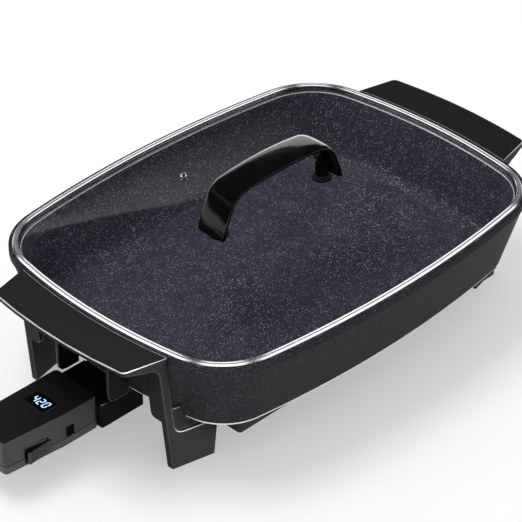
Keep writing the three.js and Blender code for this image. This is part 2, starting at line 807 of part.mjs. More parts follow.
// Outline of an end flange in the XZ plane: gusset under the plate, leg and foot in one
function flangeOutline() {
  const gussetX = plateCornerX + plateCornerRadius;
  const filletX = gussetX + gussetReach;
  const filletZ = plateUnderside - gussetDrop;
  const shape = new THREE.Shape();
  shape.moveTo(gussetX, plateCore);
  shape.lineTo(gussetX, plateUnderside - seatGap);
  shape.lineTo(filletX, filletZ);
  shape.quadraticCurveTo(outerAt(filletZ), filletZ, outerAt(filletZ - gussetFillet), filletZ - gussetFillet);
  shape.lineTo(outerAt(0), 0);
  shape.lineTo(footInnerX, 0);
  shape.lineTo(footInnerX + footEndDraft, footTop);
  shape.lineTo(shankAt(footTop) + footFillet, footTop);
  shape.quadraticCurveTo(shankAt(footTop), footTop, shankAt(footTop + footFillet), footTop + footFillet);
  shape.lineTo(shankAt(legStepHeight), legStepHeight);
  shape.lineTo(innerAt(legStepHeight + legStepRise), legStepHeight + legStepRise);
  shape.lineTo(innerAt(plateUnderside), plateUnderside);
  shape.lineTo(innerAt(plateUnderside), plateCore);
  return shape;
}

// The wall inside a flange that closes the space between leg, foot and pan
function innerWallOutline() {
  return polygon([
    [outerAt(0) + legShankWidth / 2, 0],
    [footInnerX, 0],
    [footInnerX + footEndDraft, footTop],
    [footInnerX + footEndDraft, legStepHeight],
    [outerAt(legStepHeight) + legShankWidth / 2, legStepHeight],
  ]);
}

// A flange is its outline cut to a slanted strip; the wall takes the strip's inner half
function endFlange(side) {
  const [farX, nearX] = [plateCornerX + plateCornerRadius, footInnerX + footEndDraft + overrun];
  const cutToStrip = (shape, depth) => {
    const strip = polygon([
      [farX, side * (frameHalfWidth(farX) - depth)],
      [nearX, side * (frameHalfWidth(nearX) - depth)],
      [nearX, side * (frameHalfWidth(nearX) - flangeThickness)],
      [farX, side * (frameHalfWidth(farX) - flangeThickness)],
    ]);
    const reach = span(0, side * (frameHalfWidth(nearX) + overrun));
    const thick = toSolid(raiseAlongY(shape, reach, 0, frameCurveSteps));
    return thick.intersect(toSolid(raise(strip, [-overrun, plateTop])));
  };
  return cutToStrip(flangeOutline(), 0).add(cutToStrip(innerWallOutline(), flangeThickness / 2));
}

// The web that turns each leg's outer edge in towards the middle
function legWeb(side) {
  const webBottom = panBottomHeight + webLowerRise;
  const section = toSolid(raiseAlongY(polygon([
    [outerAt(webBottom), webBottom],
    [outerAt(webBottom) + webThickness, webBottom],
    [outerAt(plateCore) + webThickness, plateCore],
    [outerAt(plateCore), plateCore],
  ]), span(0, side * (plateCornerHalfWidth + overrun))));
  const face = new THREE.Shape();
  const farY = frameHalfWidth(footOuterX) - flangeThickness / 2;
  face.moveTo(side * webHalfOpening, plateCore);
  face.lineTo(side * webHalfOpening, webBottom + webCornerRadius);
  const cornerY = side * (webHalfOpening + webCornerRadius);
  face.quadraticCurveTo(side * webHalfOpening, webBottom, cornerY, webBottom);
  face.lineTo(side * farY, webBottom);
  face.lineTo(side * farY, plateCore);
  return section.intersect(toSolid(raiseAlongX(face, [plateOuterX, plateInnerX])));
}

// The cheeks that shroud the terminals on the control's end
function terminalCheek(side) {
  const outerX = guardOuterX + cheekReach / 2;
  const bottom = guardTop + seatGap;
  const shape = new THREE.Shape();
  shape.moveTo(outerX, plateCore);
  shape.lineTo(outerX, bottom + cheekCornerRadius);
  shape.quadraticCurveTo(outerX, bottom, outerX + cheekCornerRadius, bottom);
  shape.lineTo(plateInnerX, bottom);
  shape.lineTo(plateInnerX, plateCore);
  const inner = guardHalfWidth + seatGap;
  return toSolid(raiseAlongY(shape, span(side * inner, side * (inner + cheekThickness))));
}

function handleFrame(hasCheeks) {
  let frame = handlePlate();
  for (const side of sides) {
    frame = frame.add(endFlange(side)).add(legWeb(side));
    if (hasCheeks) {
      frame = frame.add(terminalCheek(side));
    }
    const y = (side * lugSpacing) / 2;
    const bossBottom = lugTop + seatGap;
    frame = frame.add(barZ(handleBossRadius, -lugScrewX, y, [bossBottom, plateCore]));
    const holeTop = handleScrewSeat + handleScrewLength + screwTipRoom;
    const hole = [bossBottom - overrun, holeTop];
    frame = frame.subtract(barZ(handleScrewRadius + boreClearance, -lugScrewX, y, hole));
  }
  return frame.subtract(panEnvelope());
}

// Lid rim: a rolled channel with a bevel, a groove and a bead on top, its inner side on the glass
function lidRing() {
  const inner = lidRimInset + lidRimWidth;
  const grooveTop = lidRimTop - lidUpperThickness;
  const channelZ = lidRimTop - lidChannelDepth;
  const beadStart = inner - lidBeadWidth;
  const beadRound = lidBeadWidth / 3;
  const section = [
    [lidRimInset, lidRimBottom],
    [lidRimInset, lidRimTop - lidBevel],
    [lidRimInset + lidBevel / 2, lidRimTop],
    [lidRimInset + lidBevel, lidRimTop],
    [lidRimInset + lidBevel + lidChannelDepth / 2, channelZ],
    [beadStart, channelZ],
    [beadStart + beadRound, lidRimTop],
    [inner - beadRound, lidRimTop],
    [inner, channelZ],
    [inner, grooveTop],
    [lidRimInset + lidRimWall, grooveTop],
    [lidRimInset + lidRimWall, lidRimBottom + lidRimWall],
    [lidRimInset + lidLowerFlange, lidRimBottom + lidRimWall],
    [lidRimInset + lidLowerFlange, lidRimBottom],
  ];
  return toSolid(loft(section.map(([inset, height]) => planRing(inset, height)), true));
}

// Height of the glass top at a share of the way from the middle to the edge
const glassTopAt = (share) => glassEdgeTop + glassRise * (1 - share ** glassCrownShare);
const glassFlatShare = glassRingShares.at(-1);
const glassFlatTop = glassTopAt(glassFlatShare);
const archBase = glassFlatTop + seatGap;

// Turns an upright piece at the origin to stand square on the glass at the vent
const glassHalfWidth = rimHalfWidth - glassInset;
const ventShareHere = ventY / glassHalfWidth;
const ventOuterShare = glassRingShares.findLast((share) => share > ventShareHere);
const ventInnerShare = glassRingShares.find((share) => share < ventShareHere);
const ventDrop = glassTopAt(ventInnerShare) - glassTopAt(ventOuterShare);
const ventSlope = ventDrop / ((ventOuterShare - ventInnerShare) * glassHalfWidth);
const ventTop = glassTopAt(ventOuterShare) + ventSlope * (ventOuterShare * glassHalfWidth - ventY);
function placeAtVent(geometry) {
  return geometry.rotateX(-Math.atan(ventSlope)).translate(ventX, ventY, ventTop);
}

// A body of revolution from a closed profile of radius and height pairs
function turned(profile) {
  const closed = [...profile, profile[0]].map(([radius, height]) => new THREE.Vector2(radius, height));
  return new THREE.LatheGeometry(closed, rodSides).rotateX(Math.PI / 2);
}

function lidGlass() {
  const level = (share, drop) => planRing(glassInset, glassTopAt(share) - drop, share);
  const under = [...glassRingShares].reverse().map((share) => level(share, glassThickness));
  let glass = toSolid(loft([...under, ...glassRingShares.map((share) => level(share, 0))]));
  for (const end of ends) {
    const hole = [glassEdgeBottom, glassFlatTop + overrun];
    glass = glass.subtract(barZ(lidScrewRadius + boreClearance, end * archBossX, 0, hole));
  }
  const [radius, reach] = [ventShankRadius + seatGap, glassThickness + overrun];
  const bore = new THREE.CylinderGeometry(radius, radius, 2 * reach, rodSides);
  return glass.subtract(toSolid(placeAtVent(bore.rotateX(Math.PI / 2))));
}

// Vent: an eyelet clenched through the glass
function ventEyelet() {
  const [high, low] = [seatGap, -glassThickness - seatGap];
  return toSolid(placeAtVent(turned([
    [ventHoleRadius, low - ventFlangeThickness],
    [ventRadius, low - ventFlangeThickness],
    [ventRadius, low],
    [ventShankRadius, low],
    [ventShankRadius, high],
    [ventRadius, high],
    [ventRadius, high + ventFlangeThickness / 2],
    [ventRadius - ventFlangeThickness / 2, high + ventFlangeThickness],
    [ventHoleRadius, high + ventFlangeThickness],
  ])));
}

// One edge of the lid handle's arch in the XZ plane, from foot to foot. The crown is a flat
// curve between its shoulders, and each bend and leg goes on in the line before it.
function traceArch(crown, { foot, knee, kneeDrop, turn, shoulder, shoulderDrop }) {
  const kneeZ = crown - kneeDrop;
  const shoulderZ = crown - shoulderDrop;
  const turnZ = shoulderZ - ((2 * shoulderDrop) / shoulder) * (turn - shoulder);
  const legZ = (archBase + kneeZ) / 2;
  const legX = knee + ((knee - turn) * (kneeZ - legZ)) / (turnZ - kneeZ);
  const path = new THREE.Path();
  path.moveTo(-foot, archBase);
  path.quadraticCurveTo(-legX, legZ, -knee, kneeZ);
  path.quadraticCurveTo(-turn, turnZ, -shoulder, shoulderZ);
  path.quadraticCurveTo(0, crown + shoulderDrop, shoulder, shoulderZ);
  path.quadraticCurveTo(turn, turnZ, knee, kneeZ);
  path.quadraticCurveTo(legX, legZ, foot, archBase);
  return path.getPoints(archSteps);
}

// A section across the strap: a rounded oval, fuller on the outside than on the inside
function strapRing(outside, inside) {
  const ring = [];
  for (let i = 0; i < strapSides; i += 1) {
    const angle = (2 * Math.PI * i) / strapSides;
    const [across, through] = [Math.cos(angle), Math.sin(angle)];
    const bend = 2 / (through > 0 ? strapOuterPowerShare : strapInnerPowerShare);
    const y = (Math.sign(across) * Math.abs(across) ** bend * archWidth) / 2;
    const share = (1 + Math.sign(through) * Math.abs(through) ** bend) / 2;
    const point = inside.clone().lerp(outside, share);
    ring.push(new THREE.Vector3(point.x, y, point.y));
  }
  return ring;
}

function lidHandle() {
  const crown = archBase + archHeight;
  const outer = traceArch(crown, {
    foot: archOuterFoot,
    knee: archOuterKnee,
    kneeDrop: archOuterKneeDrop,
    turn: archOuterTurn,
    shoulder: archOuterShoulder,
    shoulderDrop: archOuterShoulderDrop,
  });
  const inner = traceArch(crown - archThickness, {
    foot: archInnerFoot,
    knee: archInnerKnee,
    kneeDrop: archInnerKneeDrop,
    turn: archInnerTurn,
    shoulder: archInnerShoulder,
    shoulderDrop: archInnerShoulderDrop,
  });
  let handle = toSolid(loft(outer.map((outside, i) => strapRing(outside, inner[i]))));
  for (const end of ends) {
    handle = handle.add(barZ(archBossRadius, end * archBossX, 0, [archBase, archBase + archBossHeight]));
    const hole = [archBase - overrun, lidScrewSeat + lidScrewLength + screwTipRoom];
    handle = handle.subtract(barZ(lidScrewRadius + boreClearance, end * archBossX, 0, hole));
  }
  return handle;
}

// Washers and screws that hold the lid handle, under the glass where it starts to fall away
const lidFall = (glassFlatTop - glassTopAt(glassRingShares.at(-2)))
  / ((glassRingShares.at(-2) - glassFlatShare) * (rimHalfLength - glassInset));
const washerTop = glassFlatTop - glassThickness - seatGap - lidFall * washerRadius;
const lidScrewSeat = washerTop - washerThickness - seatGap;
function lidWasher(end) {
  const hole = [washerTop - washerThickness - overrun, washerTop + overrun];
  const washer = barZ(washerRadius, end * archBossX, 0, [washerTop - washerThickness, washerTop]);
  return washer.subtract(barZ(lidScrewRadius + boreClearance, end * archBossX, 0, hole));
}

// Heat control

// The control's plan, moved inwards by an amount: straight by the pan, then slimming to its tip
function controlPlan(inset) {
  const [near, far] = [controlInnerX - inset, controlOuterX + inset];
  const [half, tip] = [controlHalfWidth - inset, controlTipHalfWidth - inset];
  const radius = controlCornerRadius / (1 + inset / controlWall);
  const shape = new THREE.Shape();
  shape.moveTo(near, half - radius);
  shape.quadraticCurveTo(near, half, near - radius, half);
  shape.lineTo(controlInnerX - controlBackStraight, half);
  shape.quadraticCurveTo(controlInnerX - controlBackBend, half, far + radius, tip);
  shape.quadraticCurveTo(far, tip, far, tip - radius);
  shape.lineTo(far, radius - tip);
  shape.quadraticCurveTo(far, -tip, far + radius, -tip);
  const slim = half - controlFrontSlim;
  const [bendX, straightX] = [controlInnerX - controlFrontBend, controlInnerX - controlFrontStraight];
  shape.quadraticCurveTo(bendX, -slim, straightX, -half);
  shape.lineTo(near - radius, -half);
  shape.quadraticCurveTo(near, -half, near, radius - half);
  return shape;
}

// Both halves of the casing come from one hollow shell, parted at the seam
function controlShell() {
  const outside = raise(controlPlan(0), [controlBottom, controlTop], controlEdgeRound);
  const inside = raise(controlPlan(controlWall), [controlBottom + controlWall, controlTop - controlWall]);
  return toSolid(outside).subtract(toSolid(inside));
}

const caseBossX = [controlInnerX - caseBossInnerInset, controlOuterX + caseBossOuterInset];
const caseScrewSeat = controlBottom + smallHeadThickness + seatGap;
const everywhereX = [controlOuterX - overrun, controlInnerX + overrun];
const everywhereY = [-controlHalfWidth - overrun, controlHalfWidth + overrun];
const floorTop = controlBottom + controlWall;
const ceiling = controlTop - controlWall;
const glandHeight = (partingHeight + controlTop) / 2;

// Key, lever and display places, measured from the control's inner end
const keyX = [controlInnerX - keyFromInnerEnd - keyLength, controlInnerX - keyFromInnerEnd];
const keyZ = [partingHeight + seatGap, partingHeight + keyHeight];
const leverX = [controlInnerX - leverFromInnerEnd - leverLength, controlInnerX - leverFromInnerEnd];
const leverZ = [controlBottom + leverRise, controlBottom + leverRise + leverHeight];
const displayX = [controlInnerX - displayFromInnerEnd - displayLength, controlInnerX - displayFromInnerEnd];
const displayY = [-displayWidth / 2, displayWidth / 2];
const leverFaceY = -(controlHalfWidth + leverProud);
const leverPivotX = leverX[1] - leverPivotInset;
const leverPivotY = leverFaceY + leverLean + leverBarrelRadius;

const grow = ([a, b], amount) => [a - amount, b + amount];

// The openings in the casing's front side, shared by both halves
function frontOpenings() {
  const wallY = [-controlHalfWidth - overrun, -controlTipHalfWidth + controlWall + seatGap];
  const lever = block(grow(leverX, 2 * seatGap), wallY, grow(leverZ, seatGap));
  const keyTop = keyZ[1] + seatGap;
  const key = block(grow(keyX, seatGap), wallY, [partingHeight, keyTop]);
  return lever.add(key);
}

function plugMouth() {
  const mouthX = grow([controlInnerX - controlWall, controlInnerX], overrun / 2);
  const mouthY = grow([-plugHalfWidth, plugHalfWidth], seatGap);
  return block(mouthX, mouthY, grow([plugBottom, plugTop], seatGap));
}

function topCover() {
  const upper = block(everywhereX, everywhereY, [partingHeight + seatGap, controlTop + overrun]);
  let cover = controlShell().intersect(upper);
  for (const x of caseBossX) {
    cover = cover.add(barZ(caseBossRadius, x, 0, [partingHeight + seatGap, ceiling + controlWall / 2]));
    const holeTop = caseScrewSeat + caseScrewLength + screwTipRoom;
    cover = cover.subtract(barZ(smallScrewRadius + boreClearance, x, 0, [partingHeight, holeTop]));
  }
  const lugBase = leverZ[1] + 2 * seatGap;
  const lugX = grow([leverPivotX, leverPivotX], leverBarrelRadius + seatGap);
  const lugY = [-controlHalfWidth + controlFrontSlim, leverPivotY + leverBarrelRadius];
  const leverLug = block(lugX, lugY, [lugBase, lugBase + leverLugThickness]);
  const socket = [lugBase - overrun, lugBase + leverLugThickness - leverPinLength / 2];
  cover = cover.subtract(frontOpenings()).add(leverLug);
  cover = cover.subtract(barZ(leverPinRadius + boreClearance, leverPivotX, leverPivotY, socket));
  cover = cover.subtract(plugMouth());
  const recess = raise(
    roundedRectangle(grow(displayX, seatGap), grow(displayY, seatGap), displayRound + seatGap),
    [controlTop - displayThickness - seatGap, controlTop + overrun],
  );
  cover = cover.subtract(toSolid(recess));
  const [sightX, sightY] = [grow(displayX, -displayLedge), grow(displayY, -displayLedge)];
  cover = cover.subtract(block(sightX, sightY, grow([ceiling, controlTop], seatGap)));
  const glandHole = grow([controlOuterX, controlOuterX], overrun);
  return cover.subtract(barX(glandRadius + seatGap, 0, glandHeight, glandHole));
}

function bottomCover() {
  const lower = block(everywhereX, everywhereY, [controlBottom - overrun, partingHeight]);
  let cover = controlShell().intersect(lower);
  for (const x of caseBossX) {
    const bossRange = [controlBottom + controlWall / 2, partingHeight];
    const headRoom = [controlBottom - overrun, caseScrewSeat + seatGap];
    const through = [controlBottom, partingHeight + overrun];
    cover = cover.add(barZ(caseBossRadius + caseSeatWall, x, 0, bossRange));
    cover = cover.subtract(barZ(smallHeadRadius + seatGap, x, 0, headRoom));
    cover = cover.subtract(barZ(smallScrewRadius + boreClearance, x, 0, through));
  }
  const postRange = [floorTop - controlWall / 2, boardBottom - seatGap];
  for (const x of [controlInnerX - postInset, controlOuterX + postInset - seatGap]) {
    for (const side of sides) {
      cover = cover.add(barZ(postRadius, x, side * postOffset, postRange));
    }
  }
  const socket = [floorTop - leverPinLength, floorTop + overrun];
  cover = cover.subtract(frontOpenings()).subtract(plugMouth());
  return cover.subtract(barZ(leverPinRadius + boreClearance, leverPivotX, leverPivotY, socket));
}

// Plug block that carries the contact sleeves and the probe
const plugOuterX = plugInnerX - plugLength;
function plugBlock() {
  const alongY = [-plugHalfWidth, plugHalfWidth];
  const section = roundedRectangle(alongY, [plugBottom, plugTop], 2 * plugEdgeRound);
  let plug = toSolid(raiseAlongX(section, [plugOuterX, plugInnerX], plugEdgeRound));
  const through = grow([plugOuterX, plugInnerX], overrun);
  for (const side of sides) {
    plug = plug.subtract(barX(contactRadius + seatGap, side * terminalSide, terminalHeight, through));
  }
  return plug.subtract(barX(probeRadius + seatGap, 0, terminalHeight, through));
}

function contactSleeve(side) {
  const innerX = plugInnerX - contactInset;
  const sleeve = barX(contactRadius, side * terminalSide, terminalHeight, [innerX - contactLength, innerX]);
  const bore = grow([innerX - contactLength, innerX], overrun);
  return sleeve.subtract(barX(contactBoreRadius, side * terminalSide, terminalHeight, bore));
}

// Sensing probe: a round rod with a tapered tip
function probeRod() {
  const tail = plugOuterX + probeTailInset;
  const geometry = turned([
    [0, 0],
    [probeRadius, 0],
    [probeRadius, probeLength - probeTipLength],
    [probeRadius / 2, probeLength],
    [0, probeLength],
  ]);
  return toSolid(geometry.rotateY(Math.PI / 2).translate(tail, 0, terminalHeight));
}

function displayWindow() {
  const top = controlTop - seatGap / 2;
  return toSolid(raise(roundedRectangle(displayX, displayY, displayRound), [top - displayThickness, top]));
}

// Display module, standing on the board under the window
function displayModule() {
  const [alongX, alongY] = [grow(displayX, -moduleMargin), grow(displayY, -moduleMargin)];
  return block(alongX, alongY, [boardTop + seatGap, controlTop - displayThickness - 2 * seatGap]);
}

// Circuit board, with the key's switch hanging under it
function circuitBoard() {
  let board = toSolid(raise(controlPlan(controlWall + boardMargin), [boardBottom, boardTop]));
  for (const x of caseBossX) {
    board = board.subtract(barZ(caseBossRadius + seatGap, x, 0, grow([boardBottom, boardTop], overrun)));
  }
  const switchFace = -(controlHalfWidth - controlWall - boardMargin);
  const switchY = [switchFace, switchFace + keySwitchDepth];
  const switchZ = [boardBottom - keySwitchHeight, boardBottom + boardThickness / 2];
  return board.add(block(grow(keyX, -seatGap), switchY, switchZ));
}

// Set key: a cap that fills its opening, a lip behind the wall and a stem to the switch
function setKey() {
  const faceY = -(controlHalfWidth - keyRecess);
  const lipY = -(controlHalfWidth - controlWall - seatGap);
  const stemEnd = -(controlHalfWidth - controlWall - boardMargin) - keyTravel - seatGap;
  const [stemX, stemZ] = [(keyX[0] + keyX[1]) / 2, (keyZ[0] + keyZ[1]) / 2];
  const cap = block(keyX, [faceY, lipY + keyLip], keyZ);
  const lip = block(grow(keyX, keyLip), [lipY, lipY + keyLip], [keyZ[0], keyZ[1] + keyLip]);
  const around = (middle) => [middle - keyStemWidth / 2, middle + keyStemWidth / 2];
  return cap.add(lip).add(block(around(stemX), [lipY, stemEnd], around(stemZ)));
}

// Release lever: a ribbed finger pad that swings in about a pin at its inner end
function releaseLever() {
  const backY = leverFaceY + leverThickness;
  const faceAt = (x) => leverFaceY + (leverLean * (x - leverX[0])) / leverLength;
  const shape = new THREE.Shape();
  shape.moveTo(leverX[0], backY);
  shape.lineTo(leverX[0], faceAt(leverX[0]) + leverEndRound);
  const roundEnd = leverX[0] + leverEndRound;
  shape.quadraticCurveTo(leverX[0], faceAt(leverX[0]), roundEnd, faceAt(roundEnd));
  for (let i = 0; i < leverRibCount; i += 1) {
    const start = roundEnd + leverRibPitch * (i + 1 / 3);
    shape.lineTo(start, faceAt(start) + leverRibDepth);
    shape.lineTo(start, faceAt(start));
    shape.lineTo(start + leverRibWidth, faceAt(start + leverRibWidth));
    shape.lineTo(start + leverRibWidth, faceAt(start + leverRibWidth) + leverRibDepth);
  }
  shape.lineTo(leverX[1], faceAt(leverX[1]) + leverRibDepth);
  shape.lineTo(leverX[1], backY);
  const barrel = barZ(leverBarrelRadius, leverPivotX, leverPivotY, leverZ);
  const pin = barZ(leverPinRadius, leverPivotX, leverPivotY, grow(leverZ, leverPinLength));
  return toSolid(raise(shape, leverZ)).add(barrel).add(pin);
}

// Cord gland: a bushing clenched in the outer end wall
function cordGland() {
  const wallInner = controlWall + seatGap;
  const geometry = turned([
    [glandBoreRadius, -glandProud],
    [glandFlangeRadius - glandProud / 2, -glandProud],
    [glandFlangeRadius, -glandProud / 2],
    [glandFlangeRadius, -seatGap],
    [glandRadius, -seatGap],
    [glandRadius, wallInner],
    [glandFlangeRadius, wallInner],
    [glandFlangeRadius, wallInner + glandInnerFlange],
    [glandBoreRadius, wallInner + glandInnerFlange],
  ]);
  return toSolid(geometry.rotateY(Math.PI / 2).translate(controlOuterX, 0, glandHeight));
}

// The pieces

addPiece(panGroup, 'pan_body', panBody(), charcoalPaint);
addPiece(panGroup, 'base_shield', baseShield(), darkSheet);
addPiece(panGroup, 'heating_element', elementTube(elementRadius), elementSheath);
addPiece(panGroup, 'sensor_well', sensorWell(), castAluminium);
addPiece(panGroup, 'terminal_guard', terminalGuard(), blackPhenolic);
addPiece(panGroup, 'handle_left', handleFrame(true), blackPhenolic);
addPiece(panGroup, 'handle_right', toGeometry(handleFrame(false)).rotateZ(Math.PI), blackPhenolic);

const sideNames = { '-1': 'front', 1: 'back' };
const endNames = { '-1': 'left', 1: 'right' };
for (const side of sides) {
  const sideName = sideNames[side];
  addPiece(panGroup, `terminal_pin_${sideName}`, terminalPin(side), plainSteel);
  addPiece(panGroup, `terminal_insulator_${sideName}`, terminalInsulator(side), ceramic);
  addPiece(controlGroup, `contact_${sideName}`, contactSleeve(side), brass);
  const guardScrew = screwUp(smallScrewRadius, smallHeadRadius, smallHeadThickness, guardScrewLength,
    guardScrewX, side * guardTabOffset, guardScrewSeat);
  addPiece(panGroup, `guard_screw_${sideName}`, guardScrew, plainSteel);
  for (const end of ends) {
    const name = `${endNames[end]}_${sideName}`;
    const handleScrew = screwUp(handleScrewRadius, handleHeadRadius, handleHeadThickness, handleScrewLength,
      end * lugScrewX, (side * lugSpacing) / 2, handleScrewSeat);
    addPiece(panGroup, `handle_screw_${name}`, handleScrew, plainSteel);
    const shieldScrew = screwUp(smallScrewRadius, smallHeadRadius, smallHeadThickness, shieldScrewLength,
      (end * bossSpacingX) / 2, (side * bossSpacingY) / 2, shieldBottom - seatGap);
    addPiece(panGroup, `shield_screw_${name}`, shieldScrew, plainSteel);
  }
}

addPiece(lidGroup, 'lid_ring', lidRing(), polishedSteel);
addPiece(lidGroup, 'lid_glass', lidGlass(), clearGlass);
addPiece(lidGroup, 'vent_eyelet', ventEyelet(), polishedSteel);
addPiece(lidGroup, 'lid_handle', lidHandle(), glossPhenolic);
for (const end of ends) {
  addPiece(lidGroup, `lid_washer_${endNames[end]}`, lidWasher(end), plainSteel);
  const lidScrew = screwUp(lidScrewRadius, lidScrewHeadRadius, lidScrewHeadThickness, lidScrewLength,
    end * archBossX, 0, lidScrewSeat);
  addPiece(lidGroup, `lid_screw_${endNames[end]}`, lidScrew, plainSteel);
}

addPiece(controlGroup, 'control_top', topCover(), satinBlack);
addPiece(controlGroup, 'control_bottom', bottomCover(), darkGrey);
addPiece(controlGroup, 'plug_block', plugBlock(), blackPhenolic);
addPiece(controlGroup, 'probe_rod', probeRod(), plainSteel);
addPiece(controlGroup, 'display_window', displayWindow(), displayBlack);
addPiece(controlGroup, 'display_module', displayModule(), displayBlack);
addPiece(controlGroup, 'circuit_board', circuitBoard(), boardGreen);
addPiece(controlGroup, 'set_key', setKey(), satinBlack);
addPiece(controlGroup, 'release_lever', releaseLever(), darkGrey);
addPiece(controlGroup, 'cord_gland', cordGland(), blackSilicone);
['inner', 'outer'].forEach((place, i) => {
  const caseScrew = screwUp(smallScrewRadius, smallHeadRadius, smallHeadThickness, caseScrewLength,
    caseBossX[i], 0, caseScrewSeat);
  addPiece(controlGroup, `case_screw_${place}`, caseScrew, plainSteel);
});

// The origin goes under the middle of the whole model's length
const originShift = -(glandOuterX - plateOuterX) / 2;
for (const group of [panGroup, lidGroup, controlGroup]) {
  group.position.x = originShift;
}

export default skillet;
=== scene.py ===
"""Looks of an electric skillet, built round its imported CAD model, in metres."""
import math

import bmesh
import bpy
from mathutils import Matrix, Vector


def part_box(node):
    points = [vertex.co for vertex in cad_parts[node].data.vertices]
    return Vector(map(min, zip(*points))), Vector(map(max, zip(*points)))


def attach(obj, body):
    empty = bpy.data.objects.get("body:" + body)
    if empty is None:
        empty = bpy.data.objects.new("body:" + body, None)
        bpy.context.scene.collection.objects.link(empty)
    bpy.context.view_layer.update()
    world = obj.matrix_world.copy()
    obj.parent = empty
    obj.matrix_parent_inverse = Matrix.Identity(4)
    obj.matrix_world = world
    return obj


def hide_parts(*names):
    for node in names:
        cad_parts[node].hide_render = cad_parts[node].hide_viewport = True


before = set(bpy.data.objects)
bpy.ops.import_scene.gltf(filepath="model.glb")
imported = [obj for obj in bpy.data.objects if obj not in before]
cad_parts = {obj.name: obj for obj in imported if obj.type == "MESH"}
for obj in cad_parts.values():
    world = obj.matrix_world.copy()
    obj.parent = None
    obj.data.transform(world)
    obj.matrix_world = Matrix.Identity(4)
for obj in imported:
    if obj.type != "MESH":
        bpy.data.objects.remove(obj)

bl_info = {
    "name": "Electric skillet",
    "version": (1, 0, 0),
    "blender": (4, 5, 0),
    "location": "View3D > Sidebar > Skillet",
    "description": "Dresses the packed electric skillet with smooth pieces and real materials",
    "category": "Object",
}

# Units, and how finely curves are drawn
MM = 0.001
SIDE_STEPS = 24
CORNER_STEPS = 24
ROUND_STEPS = 6
DOME_STEPS = 24
TURN_STEPS = 48
LEG_STEPS = 12
STRAP_STEPS = 64
BEVEL_STEPS = 2

# How close points count as one, how level faces count as flat, and how soft an edge is shaded smooth
WELD_DISTANCE = 0.01 * MM
FLAT_ANGLE = math.radians(1)
SMOOTH_ANGLE = math.radians(32)

# Values that a noise texture keeps between nearly everywhere
NOISE_SHARES = (0.3, 0.7)

# Turn of a pattern of cells, whose grid would show as bands on a wall that runs along it
CELL_TILT = tuple(math.radians(degrees) for degrees in (29, 34, 17))

# Plain white
WHITE = (1, 1, 1, 1)

# Names of the numbered inputs of Blender's mixing and sum nodes, and of a piece's material slots
FIRST, SECOND = 0, 1
MIX_A, MIX_B = 1, 2
MAIN_SLOT, SECOND_SLOT, THIRD_SLOT = 0, 1, 2

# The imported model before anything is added, and the middle of the pan's rim, which outlines are drawn about
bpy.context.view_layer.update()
lid_low, lid_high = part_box("lid_ring")
RIM_CENTRE = Vector(((lid_low.x + lid_high.x) / 2, (lid_low.y + lid_high.y) / 2, 0))

# The sRGB curve: the end and the slope of its straight foot, and the offset and power above it
FOOT_SHARE, SLOPE_SHARE = 0.04045, 12.92
OFFSET_SHARE, POWER_SHARE = 0.055, 2.4


def linear(hex_colour):
    """A six-digit sRGB colour as linear red, green, blue and alpha."""
    channels = []
    for start in (0, 2, 4):
        share = int(hex_colour[start:start + 2], 16) / 255
        curved = ((share + OFFSET_SHARE) / (1 + OFFSET_SHARE)) ** POWER_SHARE
        channels.append(share / SLOPE_SHARE if share <= FOOT_SHARE else curved)
    return (*channels, 1.0)


def shaded(base, share):
    """A colour made lighter or darker by a share."""
    return (*[min(channel * share, 1) for channel in base[:3]], 1.0)


# Settings that a user would change


def length(name, description, millimetres):
    """A length in the settings, typed in millimetres and kept in metres."""
    return bpy.props.FloatProperty(
        name=name, description=description, default=millimetres * MM, precision=4, unit="LENGTH")


def angle(name, description, degrees):
    """An angle in the settings, typed in degrees and kept in radians."""
    return bpy.props.FloatProperty(
        name=name, description=description, default=math.radians(degrees), subtype="ANGLE")


def colour(name, description, hex_colour):
    """A colour in the settings, typed in sRGB and kept linear."""
    return bpy.props.FloatVectorProperty(
        name=name, description=description, default=linear(hex_colour), size=4, min=0, max=1, subtype="COLOR")


def level(name, description, default):
    """A plain number in the settings."""
    return bpy.props.FloatProperty(name=name, description=description, default=default, min=0)


def part_of(name, description, share):
    """A share of a whole in the settings."""
    return bpy.props.FloatProperty(
        name=name, description=description, default=share, min=0, max=1, subtype="FACTOR")


def power(name, description, watts):
    """A lamp's power in the settings."""
    return bpy.props.FloatProperty(name=name, description=description, default=watts, min=0, unit="POWER")


